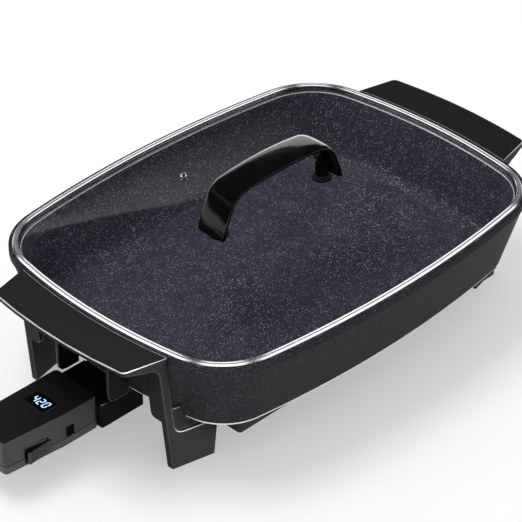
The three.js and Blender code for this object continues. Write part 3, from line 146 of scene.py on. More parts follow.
class PanSettings(bpy.types.PropertyGroup):
    """Sizes and colours of the cast pan."""
    half_length: length("Half length", "From the middle to the rim along X", 203)
    half_width: length("Half width", "From the middle to the rim along Y", 152.5)
    long_radius: length("Long side radius", "Bow of the two long sides", 977)
    short_radius: length("Short side radius", "Bow of the two short sides", 528)
    corner_radius: length("Corner radius", "Round of the rim's corners", 63)
    rim_height: length("Rim height", "Top of the rim above the worktop", 110)
    bottom_height: length("Bottom height", "Underside of the pan above the worktop", 42)
    band_height: length("Band height", "Height of the plain band round the rim", 7)
    band_proud: length("Band step", "How far the band stands out over the wall", 1.2)
    lip: length("Lip", "Thickness of the rim's upright lip", 2.8)
    edge: length("Edge round", "Round on the rim's edges", 0.8)
    ledge_depth: length("Ledge depth", "How far the lid's ledge lies under the rim", 6.5)
    ledge_inset: length("Ledge inset", "From the rim's outside to the ledge's inner edge", 10.4)
    bottom_inset: length("Wall draft", "How far the wall leans in down to the bottom", 17.9)
    bottom_chamfer: length("Bottom chamfer", "Height of the chamfer round the pan's bottom edge", 2.4)
    bottom_cut: length("Bottom cut", "Width of the chamfer round the pan's bottom edge", 1.4)
    floor_thickness: length("Floor thickness", "Thickness of the cooking floor", 4.5)
    floor_inset: length("Floor inset", "From the rim's outside to the foot of the inner wall", 21.3)
    floor_round: length("Floor round", "Round between the inner wall and the floor", 13)
    lug_width: length("Lug width", "Width of a cast lug under a handle", 15)
    lug_length: length("Lug length", "Length of a cast lug under a handle", 28)
    lug_spacing: length("Lug spacing", "Between the two lugs of a handle", 100)
    lug_reach: length("Lug reach", "From the rim to a lug's screw", 8)
    lug_low: length("Lug underside", "Height of a lug's underside", 94.2)
    lug_high: length("Lug top", "Height of a lug's top", 100.1)
    paint: colour("Outside coat", "Charcoal coat of the outside", "1c1c1f")
    flake: colour("Flakes", "Bright flakes in the outside coat", "3c3c40")
    flake_size: length("Flake size", "Spacing of the flakes", 0.8)
    # The bare metal's pale tone also paints the highlight lines on the bottom chamfer and the ledge's edge
    bare: colour("Bare metal", "Milled aluminium of the bottom chamfer and the ledge's edge", "e3e4e6")
    coat_grain: length("Coat grain", "Size of the unevenness of the coats and the milled metal", 1.6)
    coat_depth: length("Coat depth", "Depth of the sprayed coat's unevenness", 0.03)
    coating: colour("Inside coating", "Non-stick coating of the inside", "191924")
    speck: colour("Specks", "Pale mineral specks in the inside coating", "b4b4cc")
    speck_size: length("Speck spacing", "Spacing of the specks", 1.1)
    speck_cluster: length("Speck cluster", "Size of the patches where specks are larger", 7)


class LidSettings(bpy.types.PropertyGroup):
    """Sizes and colours of the lid."""
    inset: length("Lid inset", "From the pan's outside to the lid's rim", 3.1)
    rim_width: length("Rim width", "Width of the steel rim seen from above", 5)
    wall: length("Rim wall", "Sheet thickness of the rolled rim", 1.2)
    flange: length("Lower flange", "Width of the rim's lower flange", 6.2)
    upper: length("Upper thickness", "Thickness of the rim over the glass", 1.6)
    bevel: length("Rim bevel", "Outer bevel of the steel rim", 1.5)
    channel: length("Channel depth", "Depth of the channel between bevel and bead", 0.8)
    bead: length("Bead", "Width of the bead that grips the glass", 1.7)
    soft: length("Rolled edge", "Round on the rolled rim's edges", 0.45)
    glass_inset: length("Glass inset", "From the pan's outside to the glass", 4.6)
    glass: length("Glass thickness", "Thickness of the domed glass", 4)
    edge_top: length("Glass edge height", "Height of the top of the glass at its edge", 109.3)
    rise: length("Dome rise", "Rise of the dome over its edge", 13)
    crown_share: level("Dome power", "How late the dome starts to fall away", 2.4)
    flat_share: part_of("Flat share", "Share of the dome that is flat", 0.3)
    gap: length("Gap", "Room between touching pieces", 0.3)
    arch_height: length("Arch height", "Height of the handle over the glass", 42.8)
    arch_thickness: length("Arch thickness", "Thickness of the strap at the crown", 7)
    arch_width: length("Arch width", "Width of the strap", 30)
    outer_foot: length("Outer foot", "Half length of the arch outside at its feet", 71.4)
    outer_knee: length("Outer knee", "Where the outside of a leg ends", 60.5)
    outer_knee_drop: length("Outer knee drop", "Height of the crown over the outer knee", 14.2)
    outer_turn: length("Outer turn", "Where the outside of the bend is aimed", 55)
    outer_shoulder: length("Outer shoulder", "Where the outside of the crown starts", 45)
    outer_shoulder_drop: length("Outer shoulder drop", "Height of the crown over its shoulder", 3.4)
    inner_foot: length("Inner foot", "Half length of the arch inside at its feet", 66)
    inner_knee: length("Inner knee", "Where the inside of a leg ends", 57)
    inner_knee_drop: length("Inner knee drop", "Height of the inner crown over the inner knee", 13.2)
    inner_turn: length("Inner turn", "Where the inside of the bend is aimed", 51.3)
    inner_shoulder: length("Inner shoulder", "Where the inside of the crown starts", 38)
    inner_shoulder_drop: length("Inner shoulder drop", "Height of the inner crown over its shoulder", 1.1)
    outer_share: level("Outer fullness", "How full the strap's outer half is, 2 for an ellipse", 2.6)
    inner_share: level("Inner fullness", "How full the strap's inner half is, 2 for an ellipse", 4)
    boss_edge: length("Boss edge", "Chamfer at the top of a handle boss", 0.7)
    boss_x: length("Boss place", "From the middle to a handle boss", 60)
    boss_radius: length("Boss radius", "Radius of a handle boss", 6)
    boss_height: length("Boss height", "Height of a handle boss", 13)
    screw_radius: length("Screw radius", "Radius of a lid handle screw", 1.6)
    vent_flange: length("Vent flange", "Thickness of the vent's lower flange", 0.7)
    vent_head: length("Vent head", "Height of the vent's domed head", 2.2)
    vent_round: length("Vent round", "Radius of the round on the vent's head", 1.9)
    vent_bore: length("Vent bore", "Radius of the vent's bore", 1)
    vent_shank: length("Vent shank", "Radius of the vent's shank", 1.6)
    vent_radius: length("Vent radius", "Radius of the vent's flange", 3.2)
    vent_x: length("Vent X", "Place of the vent along X from the middle", -22)
    vent_y: length("Vent Y", "Place of the vent along Y from the middle", 81.4)
    steel: colour("Rim steel", "Polished stainless steel of the rim", "d9dadc")
    steel_haze: length("Steel haze", "Size of the buffing haze", 12)
    tint: colour("Glass tint", "Colour of the clear glass", "f6f7f8")
    tool_wave: length("Moulded wave", "Size of the slight waves in the glass and the buffed handle", 14)
    phenolic: colour("Handle", "Polished black phenolic of the lid handle", "060607")


class MouldingSettings(bpy.types.PropertyGroup):
    """Finish of the moulded frames, the guard and the heat control."""
    frame_edge: length("Left frame edge round", "Round on the left frame's moulded edges", 0.9)
    far_edge: length("Right frame edge round", "Round on the right frame's moulded edges", 0.6)
    case_edge: length("Case edge round", "Round on the control's moulded edges", 0.45)
    plate_edge: length("Small edge round", "Round on small metal and plastic edges", 0.25)
    black: colour("Frame black", "Matte black phenolic of the frames", "1b1b1c")
    # Pale colour that paints highlights on the rounded edges of the frames and the guard
    highlighted: colour("Trimmed edges", "Paler phenolic of the frames' trimmed edges", "d0d0d4")
    soot: colour("Dull black", "Dull black of the guard and the set key", "111111")
    # Distance within which a nearby piece puts painted shade over those edge highlights
    shade_reach: length("Wheel reach", "Free space that the buffing wheel needs beside an edge", 8)
    grain: length("Frame grain", "Size of the frames' moulded grain", 0.7)
    case_grain: length("Case grain", "Size of the control's moulded grain", 0.4)
    grain_depth: length("Grain depth", "Depth of the moulded grain", 0.02)
    top: colour("Top cover", "Satin black plastic of the top cover", "121213")
    # The lower cover's lighter grey partly paints the light that falls on the control's sides
    lower: colour("Lower cover", "Dark grey plastic of the lower cover", "414142")
    steel: colour("Plain steel", "Zinc-plated steel of the screws", "9c9ea0")
    sheet: colour("Shield", "Dark heat-resistant sheet steel", "2a2a2c")
    sheath: colour("Element sheath", "Heat-darkened sheath of the element", "5f5854")
    cast: colour("Cast metal", "Bare cast aluminium", "8f9091")
    ceramic: colour("Ceramic", "Glazed steatite of the insulators", "e4dfd2")
    silicone: colour("Silicone", "Black silicone of washers and gland", "1a1a1b")
    board: colour("Board", "Green laminate of the circuit board", "1f5a37")
    brass: colour("Brass", "Drawn brass of the contact sleeves", "b08f48")
    metal_grain: length("Metal grain", "Size of the unevenness in metals, ceramic and board", 1.5)
    stain: length("Heat stain", "Size of the stains on hot metal", 6)


class DisplaySettings(bpy.types.PropertyGroup):
    """The lit display of the heat control."""
    window: colour("Window", "Smoked acrylic of the display window", "050507")
    window_haze: length("Window haze", "Size of the window's slight haze", 6)
    window_soft: length("Window edge", "Round on the window's edge", 0.3)
    window_corner: length("Window corner", "Round of the window's corners", 0.9)
    digit: colour("Digits", "Light of the digits", "a9cdff")
    glow: length("Glow", "Size of the uneven glow in the digits", 2)
    glow_level: level("Glow level", "Strength of the digits' light", 1.3)
    height: length("Digit height", "Height of a digit", 8)
    width: length("Digit width", "Width of a digit", 4.3)
    advance: length("Digit spacing", "From one digit to the next", 6)
    stroke: length("Stroke", "Width of a segment", 0.85)
    joint: length("Joint", "Gap between two segments", 0.25)
    proud: length("Digit relief", "Thickness of the lit film on the window", 0.05)
    slant_share: part_of("Slant", "How far a digit leans, as a share of its height", 0.14)
    reading: bpy.props.StringProperty(
        name="Reading", description="Temperature on the display", default="420")


class StageSettings(bpy.types.PropertyGroup):
    """Floor, lamps and camera."""
    azimuth: angle("Azimuth", "Direction that the camera stands in, from the front", -44.96)
    elevation: angle("Elevation", "Height of the camera above the horizon", 34.51)
    roll: angle("Roll", "Turn of the camera about its line of sight", -0.22)
    distance: length("Distance", "From the camera to its target", 1982.7)
    target_x: length("Target X", "Target along X from the pan's middle", -3.9)
    target_y: length("Target Y", "Target along Y from the pan's middle", 8.4)
    target_z: length("Target Z", "Height of the target", 60)
    sensor: bpy.props.FloatProperty(
        name="Sensor", description="Sensor width in millimetres", default=36, unit="CAMERA")
    focal_share: level("Focal share", "Focal length as a share of the sensor's width", 4.534)
    floor: colour("Floor", "Pale floor", "f4f4f5")
    floor_size: length("Floor size", "Side of the floor", 9000)
    floor_mottle: length("Floor mottle", "Size of the floor's faint mottling", 90)
    floor_share: part_of("Floor white share", "Share of the pale floor that shows as plain white paper", 0.4)
    sky: level("Sky", "Strength of the even light from all round", 0.75)
    wall: level("Wall", "Strength of the room's dark walls in reflections", 0.03)
    wall_top: level("Wall top", "Strength of the lit top of the walls in reflections", 0.32)
    ceiling: level("Ceiling", "Strength of the room's dark ceiling in reflections", 0.035)
    horizon_share: part_of("Horizon share", "Sine of the elevation up to which the room is white", 0.02)
    wall_share: part_of("Wall share", "Sine of the elevation at which the walls start", 0.09)
    glow_share: part_of("Glow share", "Sine of the elevation at which the walls grow lighter", 0.3)
    wall_top_share: part_of("Wall top share", "Sine of the elevation at which the walls end", 0.48)
    ceiling_share: part_of("Ceiling share", "Sine of the elevation at which the ceiling starts", 0.5)
    lit_side_share: part_of("Lit side share", "X of the direction below which the walls are lit", 0.56)
    dark_side_share: part_of("Dark side share", "X of the direction above which the walls are dark", 0.7)
    key_power: power("Key power", "Power of the large soft lamp", 30)
    wall_fill_power: power("Wall fill power", "Power of the small lamp beside the pan's front wall", 4)
    leg_fill_power: power("Leg fill power", "Power of the lamp in front of the left handle's legs", 38)
    box_power: power("Box power", "Power of each lamp box that shows in the steel rim", 24)
    rear_power: power("Rear box power", "Power of the dim lamp that greys the steel rim's channel", 1.3)
    back_power: power("Back strip power", "Power of the low lamp behind", 5)
    back_box_power: power("Back box power", "Power of the lamp that shows in the lid handle", 16)


# Materials


def add(tree, kind, inputs=None, links=None, stops=(), **settings):
    """Adds a node, sets its properties, inputs and colour stops, and joins its inputs to outputs."""
    made = tree.nodes.new(kind)
    for name, value in settings.items():
        setattr(made, name, value)
    for name, value in (inputs or {}).items():
        made.inputs[name].default_value = value
    for name, output in (links or {}).items():
        tree.links.new(output, made.inputs[name])
    for share, tone in stops[1:-1]:
        made.color_ramp.elements.new(share)
    for i, (share, tone) in enumerate(stops):
        made.color_ramp.elements[i].position = share
        made.color_ramp.elements[i].color = tone
    return made


def start_material(name, base, metallic=0, roughness=0.5, ior=1.5):
    """A new material; returns it, its tree, its Principled shader and its object coordinates."""
    material = bpy.data.materials.new(name)
    material.use_nodes = True
    tree = material.node_tree
    shader = tree.nodes["Principled BSDF"]
    shader.inputs["Base Color"].default_value = base
    shader.inputs["Metallic"].default_value = metallic
    shader.inputs["Roughness"].default_value = roughness
    if metallic < 1:
        shader.inputs["IOR"].default_value = ior
    place = add(tree, "ShaderNodeTexCoord").outputs["Object"]
    return material, tree, shader, place


def roughen(tree, shader, noise, roughness, spread, depth=0, noise_shares=(0, 1)):
    """Lets the polish, and the surface where it has a depth, wander with a noise between two values."""
    low_share, high_share = noise_shares
    polish = add(tree, "ShaderNodeMapRange", links={"Value": noise.outputs["Fac"]}, inputs={
        "From Min": low_share, "From Max": high_share,
        "To Min": roughness - spread, "To Max": roughness + spread})
    tree.links.new(polish.outputs["Result"], shader.inputs["Roughness"])
    if depth:
        bump = add(tree, "ShaderNodeBump", inputs={"Distance": depth}, links={"Height": noise.outputs["Fac"]})
        tree.links.new(bump.outputs["Normal"], shader.inputs["Normal"])


def grained(name, base, size, depth=0, metallic=0, roughness=0.5, spread=0.08, contrast=0.1, ior=1.5):
    """A material whose tone, polish and surface all wander a little with one fine noise."""
    material, tree, shader, place = start_material(name, base, metallic, roughness, ior)
    grain = add(tree, "ShaderNodeTexNoise", inputs={"Scale": 1 / size, "Detail": 5}, links={"Vector": place})
    low_share, high_share = NOISE_SHARES
    tone = add(tree, "ShaderNodeValToRGB", links={"Fac": grain.outputs["Fac"]}, stops=(
        (low_share, shaded(base, 1 - contrast)), (high_share, shaded(base, 1 + contrast))))
    tree.links.new(tone.outputs["Color"], shader.inputs["Base Color"])
    roughen(tree, shader, grain, roughness, spread, depth, NOISE_SHARES)
    return material


def sprayed(name, base, pan, cell_size, roughness, ior):
    """An uneven sprayed coat; returns it, its tree, its shader, its coordinates and a pattern of cells."""
    material, tree, shader, place = start_material(name, base, roughness=roughness, ior=ior)
    cloud = add(tree, "ShaderNodeTexNoise", inputs={"Scale": 1 / pan.coat_grain, "Detail": 4},
                links={"Vector": place})
    roughen(tree, shader, cloud, roughness, spread=0.09, depth=pan.coat_depth)
    turned = add(tree, "ShaderNodeMapping", inputs={"Rotation": CELL_TILT}, links={"Vector": place})
    cells = add(tree, "ShaderNodeTexVoronoi", inputs={"Scale": 1 / cell_size},
                links={"Vector": turned.outputs["Vector"]})
    return material, tree, shader, place, cells


def sprayed_charcoal(pan):
    # Cast aluminium sprayed with a metallic charcoal coat and baked: a soft sheen with fine bright flakes
    material, tree, shader, place, cells = sprayed(
        "sprayed_charcoal", pan.paint, pan, pan.flake_size, roughness=0.47, ior=1.1)
    # Values of a cell from which its flake starts to show and shows in full
    faint_share, full_share = 0.62, 0.95
    tone = add(tree, "ShaderNodeValToRGB", links={"Fac": cells.outputs["Color"]},
               stops=((faint_share, pan.paint), (full_share, pan.flake)))
    tree.links.new(tone.outputs["Color"], shader.inputs["Base Color"])
    return material


def speckled_non_stick(pan):
    # Sprayed non-stick full of pale mineral specks about half a millimetre across, which are drawn
    # a little coarser to show
    material, tree, shader, place, cells = sprayed(
        "speckled_non_stick", pan.coating, pan, pan.speck_size, roughness=0.37, ior=1.4)
    # Radius of a speck against the spacing, where specks are small and where they are large
    small_share, large_share = 0.24, 0.42
    low_share, high_share = NOISE_SHARES
    patch = add(tree, "ShaderNodeTexNoise", inputs={"Scale": 1 / pan.speck_cluster}, links={"Vector": place})
    reach = add(tree, "ShaderNodeMapRange", links={"Value": patch.outputs["Fac"]}, inputs={
        "From Min": low_share, "From Max": high_share, "To Min": small_share, "To Max": large_share})
    speck = add(tree, "ShaderNodeMath", operation="LESS_THAN",
                links={FIRST: cells.outputs["Distance"], SECOND: reach.outputs["Result"]})
    # A power that leaves most specks dim and a few pale
    rare_share = 3
    chance = add(tree, "ShaderNodeSeparateXYZ", links={"Vector": cells.outputs["Color"]})
    pale = add(tree, "ShaderNodeMath", operation="POWER", inputs={SECOND: rare_share},
               links={FIRST: chance.outputs["X"]})
    strength = add(tree, "ShaderNodeMath", operation="MULTIPLY",
                   links={FIRST: speck.outputs["Value"], SECOND: pale.outputs["Value"]})
    tone = add(tree, "ShaderNodeValToRGB", links={"Fac": strength.outputs["Value"]},
               stops=((0, pan.coating), (1, pan.speck)))
    tree.links.new(tone.outputs["Color"], shader.inputs["Base Color"])
    return material


def milled_aluminium(pan):
    # Bare cast aluminium, milled and slightly oxidised: a bright satin line, drawn pale enough to also paint
    # the highlight along these edges
    return grained("milled_aluminium", pan.bare, pan.coat_grain,
                   metallic=0.5, roughness=0.42, spread=0.06, contrast=0.06)


def tempered_glass(lid):
    # Tempered soda-lime glass pressed to a dome: clear, with a sharp reflection. Lamps shine straight
    # through it, as daylight does through a thin pane, so that the pan under it stays lit
    haze = 0.01
    material, tree, shader, place = start_material("tempered_glass", lid.tint, roughness=haze, ior=1.5)
    shader.inputs["Transmission Weight"].default_value = 1
    wave = add(tree, "ShaderNodeTexNoise", inputs={"Scale": 1 / lid.tool_wave}, links={"Vector": place})
    roughen(tree, shader, wave, roughness=haze, spread=haze)
    clear = add(tree, "ShaderNodeBsdfTransparent", inputs={"Color": lid.tint})
    rays = add(tree, "ShaderNodeLightPath")
    mix = add(tree, "ShaderNodeMixShader", links={
        "Fac": rays.outputs["Is Shadow Ray"], MIX_A: shader.outputs["BSDF"], MIX_B: clear.outputs["BSDF"]})
    tree.links.new(mix.outputs["Shader"], tree.nodes["Material Output"].inputs["Surface"])
    return material


def polished_phenolic(lid):
    # Compression-moulded phenolic, buffed: deep black under a clear gloss with faint waves
    return grained("polished_phenolic", lid.phenolic, lid.tool_wave, roughness=0.1, spread=0.04, ior=1.45)


def polished_stainless(lid):
    # Rolled and mirror-polished 304 stainless steel: bright, with a faint buffing haze
    return grained("polished_stainless", lid.steel, lid.steel_haze,
                   metallic=1, roughness=0.2, spread=0.03, contrast=0.04)


def bright_stainless(lid):
    # Small turned stainless steel part, electropolished: a clear mirror of the dark room and the lamp boxes
    return grained("bright_stainless", lid.steel, lid.steel_haze,
                   metallic=1, roughness=0.06, spread=0.02, contrast=0.04)


def moulded_phenolic(moulding):
    # Compression-moulded phenolic with a spark-eroded grain: matte black whose highlights spread softly
    return grained("moulded_phenolic", moulding.black, moulding.grain, moulding.grain_depth,
                   roughness=0.5, contrast=0.12, ior=1.2)


def trimmed_phenolic(moulding):
    # Painted highlight on the moulded edges: a paler, shinier phenolic, lighter the more an edge faces up, as
    # if lit from above.
    # Painted shade keeps an edge black where another piece lies close beside it
    material = grained("trimmed_phenolic", moulding.highlighted, moulding.grain, roughness=0.3, contrast=0.2)
    tree = material.node_tree
    tone = tree.nodes["Color Ramp"].outputs["Color"]
    normal = add(tree, "ShaderNodeNewGeometry").outputs["Normal"]
    facing = add(tree, "ShaderNodeSeparateXYZ", links={"Vector": normal})
    lit_from_above = add(tree, "ShaderNodeMapRange", links={"Value": facing.outputs["Z"]})
    # Share of the space round an edge that must be open for the painted highlight to start; nearer other
    # pieces painted shade keeps the edge black
    unshaded_share = 0.85
    space = add(tree, "ShaderNodeAmbientOcclusion", samples=8, inputs={"Distance": moulding.shade_reach})
    free = add(tree, "ShaderNodeMapRange", inputs={"From Min": unshaded_share},
               links={"Value": space.outputs["AO"]})
    # Painted highlight mask: strongest on edges that face up and stand free of other pieces
    buffed = add(tree, "ShaderNodeMath", operation="MULTIPLY",
                 links={FIRST: lit_from_above.outputs["Result"], SECOND: free.outputs["Result"]})
    mix = add(tree, "ShaderNodeMixRGB", inputs={"Color1": moulding.black},
              links={"Fac": buffed.outputs["Value"], "Color2": tone})
    tree.links.new(mix.outputs["Color"], tree.nodes["Principled BSDF"].inputs["Base Color"])
    return material


def dull_phenolic(moulding):
    # Phenolic filled with soot and left dull from the mould: the blackest of the black pieces
    return grained("dull_phenolic", moulding.soot, moulding.grain, moulding.grain_depth,
                   roughness=0.7, contrast=0.12, ior=1.2)


def satin_nylon(moulding):
    # Injection-moulded glass-filled nylon with a fine satin grain: near black, even low sheen
    return grained("satin_nylon", moulding.top, moulding.case_grain, moulding.grain_depth,
                   roughness=0.32, spread=0.06, ior=1.6)


def grey_nylon(moulding):
    # The same moulding in a dark grey, a little rougher; its lighter grey is partly the cover's own colour
    # and partly painted light on the control's lit sides
    return grained("grey_nylon", moulding.lower, moulding.case_grain, moulding.grain_depth,
                   roughness=0.46, spread=0.06)


def key_rubber(moulding):
    # Moulded rubber with a velvety skin: takes almost no light
    return grained("key_rubber", moulding.soot, moulding.case_grain, moulding.grain_depth,
                   roughness=0.8, ior=1.05)


def plated_steel(moulding):
    # Zinc-plated steel: grey metal with a cloudy polish
    return grained("plated_steel", moulding.steel, moulding.metal_grain, metallic=1, roughness=0.34)


def blued_sheet(moulding):
    # Pressed steel sheet with a baked dark heat-resistant finish: dull with wide soft stains
    return grained("blued_sheet", moulding.sheet, moulding.stain, metallic=0.5, roughness=0.48, contrast=0.2)


def heated_sheath(moulding):
    # Steel sheath of a tubular element, brown-grey from heat: dull metal with stains
    return grained("heated_sheath", moulding.sheath, moulding.stain,
                   metallic=0.8, roughness=0.5, contrast=0.25)


def bare_casting(moulding):
    # Bare cast aluminium: grainy pale metal
    return grained("bare_casting", moulding.cast, moulding.metal_grain, moulding.grain_depth,
                   metallic=1, roughness=0.5, spread=0.1)


def glazed_ceramic(moulding):
    # Pressed steatite ceramic: creamy white with a dull glaze
    return grained("glazed_ceramic", moulding.ceramic, moulding.metal_grain, moulding.grain_depth,
                   roughness=0.5, contrast=0.04)


def black_silicone(moulding):
    # Moulded silicone rubber: soft dull black
    return grained("black_silicone", moulding.silicone, moulding.case_grain, moulding.grain_depth,
                   roughness=0.7, ior=1.41)


def board_laminate(moulding):
    # Glass-fibre laminate under green solder resist: satin with a slight weave
    return grained("board_laminate", moulding.board, moulding.metal_grain, moulding.grain_depth,
                   roughness=0.45)


def drawn_brass(moulding):
    # Drawn brass tube: warm metal, lightly dulled
    return grained("drawn_brass", moulding.brass, moulding.metal_grain, metallic=1, roughness=0.3)


def smoked_acrylic(display):
    # Cast smoked acrylic, polished: almost black and glossy
    return grained("smoked_acrylic", display.window, display.window_haze,
                   roughness=0.09, spread=0.04, ior=1.49)


def lit_segments(display):
    # Light-emitting film on the window: an even cool glow, a little stronger in places
    material, tree, shader, place = start_material("lit_segments", display.digit, roughness=0.4)
    shader.inputs["Emission Color"].default_value = display.digit
    uneven_share = 0.15
    patch = add(tree, "ShaderNodeTexNoise", inputs={"Scale": 1 / display.glow}, links={"Vector": place})
    strength = add(tree, "ShaderNodeMapRange", links={"Value": patch.outputs["Fac"]}, inputs={
        "To Min": (1 - uneven_share) * display.glow_level,
        "To Max": (1 + uneven_share) * display.glow_level})
    tree.links.new(strength.outputs["Result"], shader.inputs["Emission Strength"])
    return material


def floor_paper(stage):
    # Matt white paper: pale, faintly mottled, and partly shown as plain white, so that shadows stay light
    material = grained("floor_paper", stage.floor, stage.floor_mottle,
                       roughness=0.6, spread=0.05, contrast=0.01)
    tree = material.node_tree
    rays = add(tree, "ShaderNodeLightPath")
    clear = add(tree, "ShaderNodeMath", operation="MAXIMUM",
                links={FIRST: rays.outputs["Is Camera Ray"], SECOND: rays.outputs["Is Transmission Ray"]})
    seen = add(tree, "ShaderNodeMath", operation="MAXIMUM",
               links={FIRST: clear.outputs["Value"], SECOND: rays.outputs["Is Glossy Ray"]})
    share = add(tree, "ShaderNodeMath", operation="MULTIPLY", inputs={SECOND: stage.floor_share},
                links={FIRST: seen.outputs["Value"]})
    white = add(tree, "ShaderNodeEmission", inputs={"Color": WHITE})
    mix = add(tree, "ShaderNodeMixShader", links={
        "Fac": share.outputs["Value"], MIX_A: tree.nodes["Principled BSDF"].outputs["BSDF"],
        MIX_B: white.outputs["Emission"]})
    tree.links.new(mix.outputs["Shader"], tree.nodes["Material Output"].inputs["Surface"])
    return material


# Shapes


def soften(corners, is_loop=False):
    """Rounds a profile: (along, height, radius) triples become (along, height) points."""
    points = []
    count = len(corners)
    for i, (along, height, radius) in enumerate(corners):
        here = Vector((along, height))
        if radius == 0 or (not is_loop and i in (0, count - 1)):
            points.append((along, height))
            continue
        back = Vector(corners[i - 1][:2]) - here
        onward = Vector(corners[(i + 1) % count][:2]) - here
        half = back.angle(onward) / 2
        start = here + back.normalized() * radius / math.tan(half)
        stop = here + onward.normalized() * radius / math.tan(half)
        centre = here + (back.normalized() + onward.normalized()).normalized() * radius / math.sin(half)
        turn = (start - centre).angle_signed(stop - centre)
        for step in range(ROUND_STEPS + 1):
            spoke = Matrix.Rotation(-turn * step / ROUND_STEPS, 2) @ (start - centre)
            points.append(tuple(centre + spoke))
    return points


def corner_centre(pan):
    """Centre of the rim's corner arc, which touches the long-side and the short-side arc."""
    from_long = pan.long_radius - pan.corner_radius
    from_short = pan.short_radius - pan.corner_radius
    long_centre = Vector((0, pan.half_width - pan.long_radius))
    line = Vector((pan.half_length - pan.short_radius, 0)) - long_centre
    along = (line.length_squared + from_long ** 2 - from_short ** 2) / (2 * line.length)
    across = math.sqrt(from_long ** 2 - along ** 2)
    line.normalize()
    sideways = Vector((-line.y, line.x))
    crossings = [long_centre + line * along + sideways * side * across for side in (-1, 1)]
    return max(crossings, key=lambda point: point.x + point.y)


def plan_ring(pan, inset, height, share=1.0):
    """The pan's outline at a height, moved inwards by an amount and drawn in by a share."""
    corner = corner_centre(pan)
    short_x = pan.half_length - pan.short_radius
    long_y = pan.half_width - pan.long_radius
    side = math.atan2(corner.y, corner.x - short_x)
    end = math.atan2(corner.y - long_y, corner.x)
    arcs = [
        (short_x, 0, pan.short_radius, -side, side, SIDE_STEPS),
        (corner.x, corner.y, pan.corner_radius, side, end, CORNER_STEPS),
        (0, long_y, pan.long_radius, end, math.pi - end, SIDE_STEPS),
        (-corner.x, corner.y, pan.corner_radius, math.pi - end, math.pi - side, CORNER_STEPS),
    ]
    half = []
    for x, y, radius, start, stop, steps in arcs:
        for i in range(steps):
            turn = start + (stop - start) * i / steps
            spoke = Vector((math.cos(turn), math.sin(turn), 0)) * (radius - inset)
            half.append((Vector((x, y, 0)) + spoke) * share + Vector((0, 0, height)))
    other_half = [Vector((-point.x, -point.y, point.z)) for point in half]
    return [RIM_CENTRE + point for point in half + other_half]


def box_ring(low, high, radius, inset, height, middle=Vector()):
    """A rounded rectangle from low to high about a middle, at a height and moved inwards."""
    points = []
    for x, y, start in ((high.x, high.y, 0), (low.x, high.y, 1), (low.x, low.y, 2), (high.x, low.y, 3)):
        inward = Vector((math.copysign(radius, low.x + high.x - 2 * x),
                         math.copysign(radius, low.y + high.y - 2 * y)))
        for step in range(ROUND_STEPS + 1):
            turn = (start + step / ROUND_STEPS) * math.pi / 2
            spoke = Vector((math.cos(turn), math.sin(turn))) * (radius - inset)
            point = Vector((x, y)) + inward + spoke
            points.append(middle + Vector((point.x, point.y, height)))
    return points


def skin(work, rings, coats=None, is_loop=False):
    """Skins rings of points, closed by a fan at each end or by joining the last ring to the first."""
    coats = coats or [MAIN_SLOT] * len(rings)
    rows = [[work.verts.new(point) for point in ring] for ring in rings]
    count = len(rows[0])
    for i, low in enumerate(rows):
        if i + 1 == len(rows) and not is_loop:
            break
        high = rows[(i + 1) % len(rows)]
        for j in range(count):
            k = (j + 1) % count
            face = work.faces.new((low[j], low[k], high[k], high[j]))
            face.material_index = coats[i]
    if is_loop:
        return
    for row, coat, is_last in ((rows[0], MAIN_SLOT, False), (rows[-1], coats[-1], True)):
        middle = work.verts.new(sum((vert.co for vert in row), Vector()) / count)
        for j in range(count):
            k = (j + 1) % count
            face = work.faces.new((middle, row[j], row[k]) if is_last else (middle, row[k], row[j]))
            face.material_index = coat


def turned_rings(profile, place):
    """Rings of a body of revolution from (radius, height) points, brought to their place by a matrix."""
    turns = [2 * math.pi * i / TURN_STEPS for i in range(TURN_STEPS)]
    return [[place @ Vector((radius * math.cos(turn), radius * math.sin(turn), height)) for turn in turns]
            for radius, height in profile]


def finish_piece(name, work, body, slot, *materials):
    """Makes a named, smoothly shaded object from a bmesh and lets it ride on a body."""
    bmesh.ops.recalc_face_normals(work, faces=work.faces)
    mesh = bpy.data.meshes.new(name)
    work.to_mesh(mesh)
    work.free()
    for material in materials:
        mesh.materials.append(material)
    mesh.shade_smooth()
    mesh.set_sharp_from_angle(angle=SMOOTH_ANGLE)
    piece = bpy.data.objects.new(name, mesh)
    bpy.context.scene.collection.objects.link(piece)
    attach(piece, body)
    return piece


def dress(material, edge, *names, edge_material=None):
    """Gives carried-over CAD nodes their material, and rounds their edges by modifiers."""
    for name in names:
        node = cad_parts[name]
        node.data.materials.clear()
        node.data.materials.append(material)
        if edge_material:
            node.data.materials.append(edge_material)
        node.modifiers.new("weld", "WELD").merge_threshold = WELD_DISTANCE
        flat = node.modifiers.new("flat", "DECIMATE")
        flat.decimate_type = "DISSOLVE"
        flat.angle_limit = FLAT_ANGLE
        bevel = node.modifiers.new("edges", "BEVEL")
        bevel.width = edge
        bevel.segments = BEVEL_STEPS
        bevel.use_clamp_overlap = False
        bevel.limit_method = "ANGLE"
        bevel.angle_limit = SMOOTH_ANGLE
        # Rounded edges may take a second material, which can paint highlights on them
        if edge_material:
            bevel.material = SECOND_SLOT
        node.modifiers.new("normals", "WEIGHTED_NORMAL").keep_sharp = True


